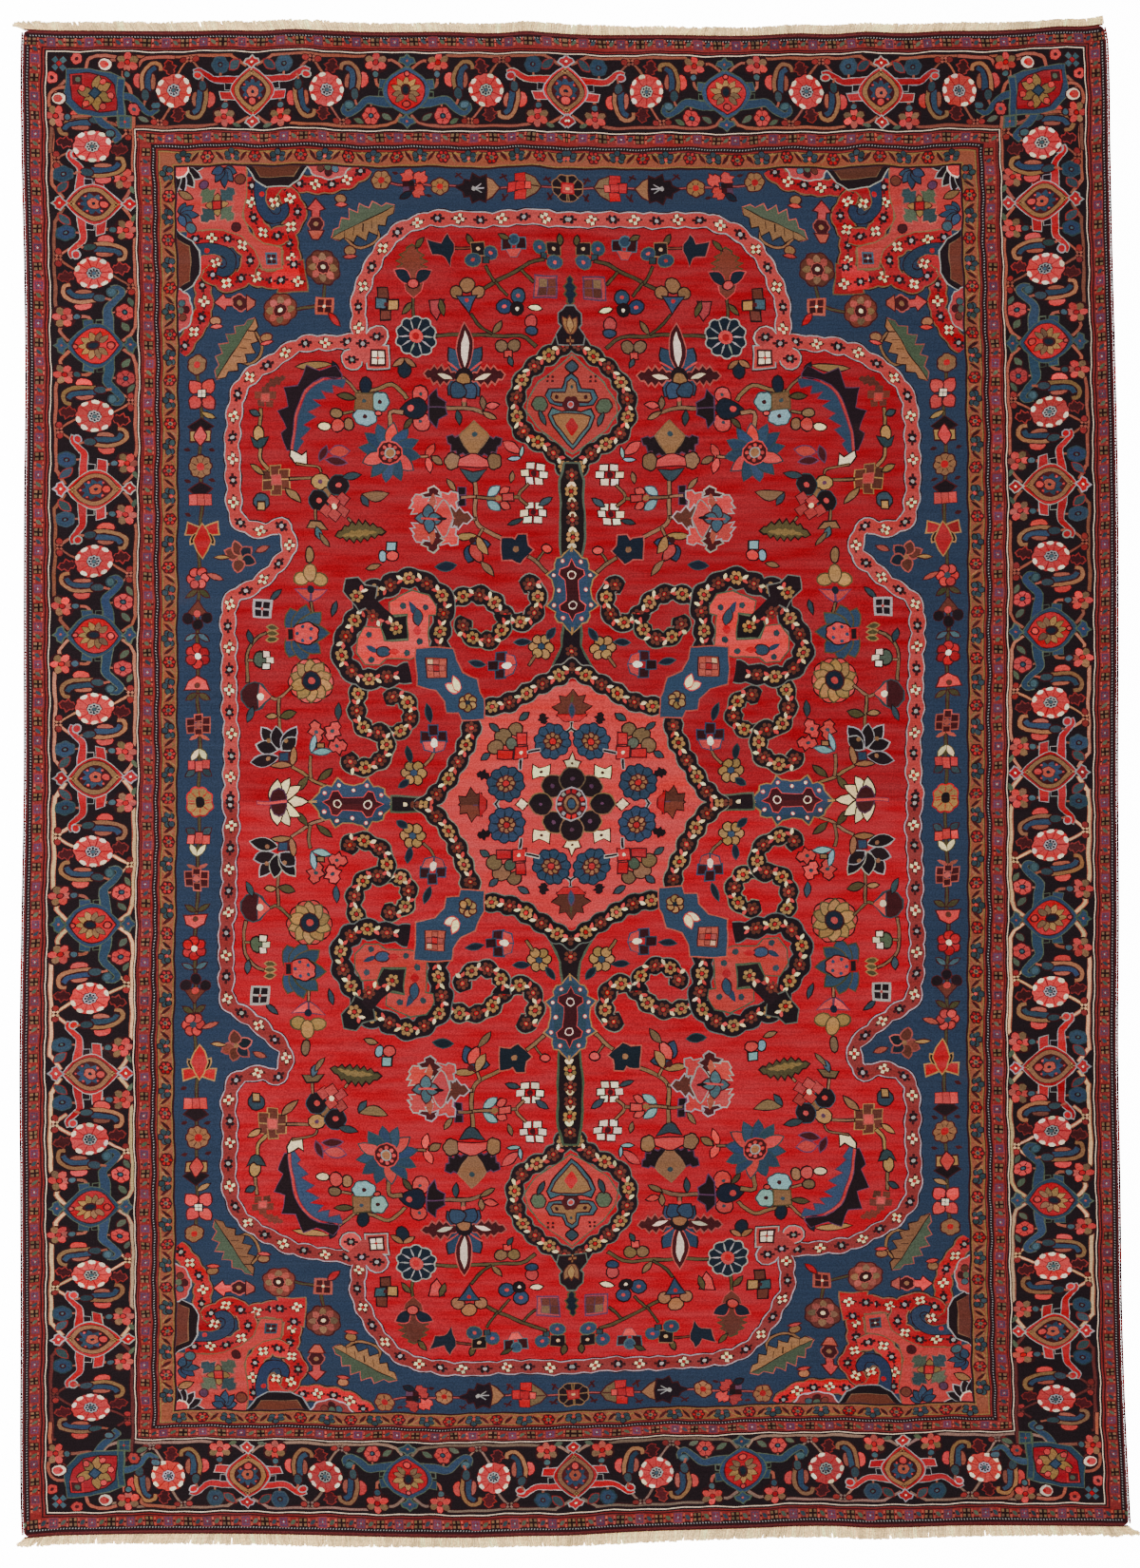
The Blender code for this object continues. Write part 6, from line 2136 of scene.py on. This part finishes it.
def fringe(name, end, locks):
    """The warp ends of one end: yarns that lean with their lock, split into strands, and a woven strip."""
    chance = np.random.default_rng(31 if end == TOP else 32)
    across = np.linspace(-HALF_WIDTH + 0.002, HALF_WIDTH - 0.002, YARNS)
    across = np.repeat(across + chance.normal(0, 0.0008, YARNS), STRANDS_IN_YARN)
    across = np.clip(across, -HALF_WIDTH + 0.0015, HALF_WIDTH - 0.0015)
    count = len(across)
    tufts = np.repeat(np.convolve(chance.normal(0, 1, YARNS), np.full(5, 0.45), "same"), STRANDS_IN_YARN)
    lean = smooth_values(locks, "lean", across) + 5 * tufts
    lean = np.radians(np.clip(lean + chance.normal(0, 4, count), -74, 74))
    length = smooth_values(locks, "length", across) - 0.003
    yarn_lengths = np.repeat(chance.uniform(0.92, 1.05, YARNS), STRANDS_IN_YARN)
    length = length * yarn_lengths * chance.uniform(0.94, 1.0, count)
    foot_x, foot_y = on_rug(across, np.full(count, end * HALF_LENGTH))
    foot_y = foot_y + end * 0.0045
    t = np.linspace(0, 1, STRAND_STEPS)[None, :]
    swing = lean[:, None] * (0.7 + 0.3 * t) + 0.12 * chance.normal(0, 1, (count, 1)) * t
    step = length[:, None] / (STRAND_STEPS - 1)
    foot = np.zeros((count, 1))
    x = foot_x[:, None] + np.concatenate((foot, np.cumsum(step * np.sin(swing[:, 1:]), axis=1)), axis=1)
    reach = np.concatenate((foot, np.cumsum(step * np.cos(swing[:, 1:]), axis=1)), axis=1)
    half = (np.arange(count) % STRANDS_IN_YARN - 1.0)[:, None]
    broad = half == 0
    x = x + 0.0006 * half * np.sin(np.pi * (1.5 * t + 0.25))
    foot_height = chance.uniform(0.0014, 0.0026, (count, 1))
    tip_height = chance.uniform(0.0012, 0.0018, (count, 1))
    height = np.where(broad, 0.0007, foot_height * (1 - t) + tip_height * t)
    centres = np.stack((x, foot_y[:, None] + end * reach, height), axis=2)
    radii = np.where(broad, 0.0044, 0.0012) * (1 - np.where(broad, 0.1, 0.4) * t ** 2)
    points, triangles = tubes(centres, radii, SIDES_OF_STRAND)
    middle = np.repeat(centres[:, :, 2].ravel(), SIDES_OF_STRAND)
    flat = np.repeat(np.where(broad, 0.12, 0.7).ravel(), STRAND_STEPS * SIDES_OF_STRAND)
    points[:, 2] = middle + (points[:, 2] - middle) * flat
    even, uneven = chance.uniform(0.95, 1.02, count), chance.uniform(0.86, 1.08, count)
    shade = np.where(broad.ravel(), even, uneven) * (1 + 0.05 * tufts)
    shade = np.repeat(shade, STRAND_STEPS * SIDES_OF_STRAND)[:, None]
    colours = dyed(WOOL["cotton"]) / DYE_LIGHT * shade
    strip, band, strip_colours = end_strip(end)
    triangles = np.concatenate((triangles, band + len(points)))
    points = np.concatenate((points, strip))
    colours = np.concatenate((colours, strip_colours))
    mesh = mesh_from(name, points, triangles)
    coloured(mesh, np.clip(colours, 0, 1))
    return add_piece(name, mesh, "warp_cotton", "fringe_top" if end == TOP else "fringe_bottom")


TURNS = 480
SIDES_OF_CORD = 8


def overcast(name, side, replaced):
    """One side cord under its overcasting wool: a tube whose radius swells once a turn."""
    chance = np.random.default_rng(41 if side == LEFT else 42)
    steps = 2 * TURNS + 1
    along = np.linspace(-HALF_LENGTH + 0.004, HALF_LENGTH - 0.004, steps)
    x, y = on_rug(np.full(steps, side * HALF_WIDTH), along)
    x = x + side * (PIECE_GAP + CORD_RADIUS)
    swell = CORD_RADIUS - 0.0004 * (np.arange(steps) % 2)
    centres = np.column_stack((x, y, np.full(steps, CORD_RADIUS)))[None]
    points, triangles = tubes(centres, swell[None], SIDES_OF_CORD)
    wools = np.array([dyed(WOOL[wool]) for wool in ("edge", "edge", "guard_red", "plum")])
    patch = np.repeat(chance.integers(0, 4, steps // 12 + 1), 12)[:steps]
    shade = chance.uniform(0.8, 1.15, steps)[:, None]
    colours = np.repeat(wools[patch] * shade, SIDES_OF_CORD, axis=0)
    mesh = mesh_from(name, points, triangles)
    coloured(mesh, np.clip(colours, 0, 1))
    return add_piece(name, mesh, "cord_wool", replaced)


pile_wool = knotted_wool()
trims = [
    fringe("fringe_upper", TOP, TOP_LOCKS),
    fringe("fringe_lower", BOTTOM, BOTTOM_LOCKS),
    overcast("overcast_left", LEFT, "side_cord_left"),
    overcast("overcast_right", RIGHT, "side_cord_right"),
]
for trim in trims:
    trim.data.materials.append(pile_wool)
for piece in pile:
    piece.data.materials.append(pile_wool)
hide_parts("pile")


# ---------------------------------------------------------------- floor, light and camera
FLOOR_REACH = 9
floor_corners = [(FLOOR_REACH * x, FLOOR_REACH * y, 0) for x, y in ((-1, -1), (1, -1), (1, 1), (-1, 1))]
floor_mesh = bpy.data.meshes.new("floor")
floor_mesh.from_pydata(floor_corners, [], [(0, 1, 2, 3)])
floor = bpy.data.objects.new("floor", floor_mesh)
bpy.context.scene.collection.objects.link(floor)
floor_paint, _, _, shader = new_material("studio_floor")
shader.inputs["Base Color"].default_value = (0.92, 0.92, 0.92, 1)
shader.inputs["Emission Color"].default_value = (1.0, 1.0, 1.0, 1)
shader.inputs["Emission Strength"].default_value = 13.0
shader.inputs["Roughness"].default_value = 0.9
shader.inputs["Specular IOR Level"].default_value = 0.1
floor_mesh.materials.append(floor_paint)

world = bpy.data.worlds.new("studio")
bpy.context.scene.world = world
world.use_nodes = True
world.node_tree.nodes["Background"].inputs["Color"].default_value = (1.0, 1.0, 1.0, 1)
world.node_tree.nodes["Background"].inputs["Strength"].default_value = 1.2


def soft_box(name, place, aim, size, power):
    """A square area light that looks at a point."""
    lamp = bpy.data.lights.new(name, "AREA")
    lamp.shape = "SQUARE"
    lamp.size = size
    lamp.energy = power
    made = bpy.data.objects.new(name, lamp)
    bpy.context.scene.collection.objects.link(made)
    made.location = place
    direction = np.array(aim) - np.array(place)
    tilt = math.acos(-direction[2] / np.linalg.norm(direction))
    made.rotation_euler = (tilt, 0.0, math.atan2(direction[1], direction[0]) - math.pi / 2)


soft_box("key_light", place=(-8.5, 0.8, 6.5), aim=(0, 0, 0), size=3.1, power=1690)

camera_data = bpy.data.cameras.new("camera")
camera = bpy.data.objects.new("camera", camera_data)
bpy.context.scene.collection.objects.link(camera)
PHOTO_ROWS = 1650
METRES_A_PIXEL = 0.0024
FRAME_MIDDLE = (-0.0175, -0.0055)
CAMERA_HEIGHT = 14.0
SENSOR_HEIGHT = 36.0
camera_data.sensor_fit = "VERTICAL"
camera_data.sensor_height = SENSOR_HEIGHT
camera_data.lens = SENSOR_HEIGHT * (CAMERA_HEIGHT - PILE_TOP) / (PHOTO_ROWS * METRES_A_PIXEL)
camera.location = (*FRAME_MIDDLE, CAMERA_HEIGHT)
bpy.context.scene.camera = camera
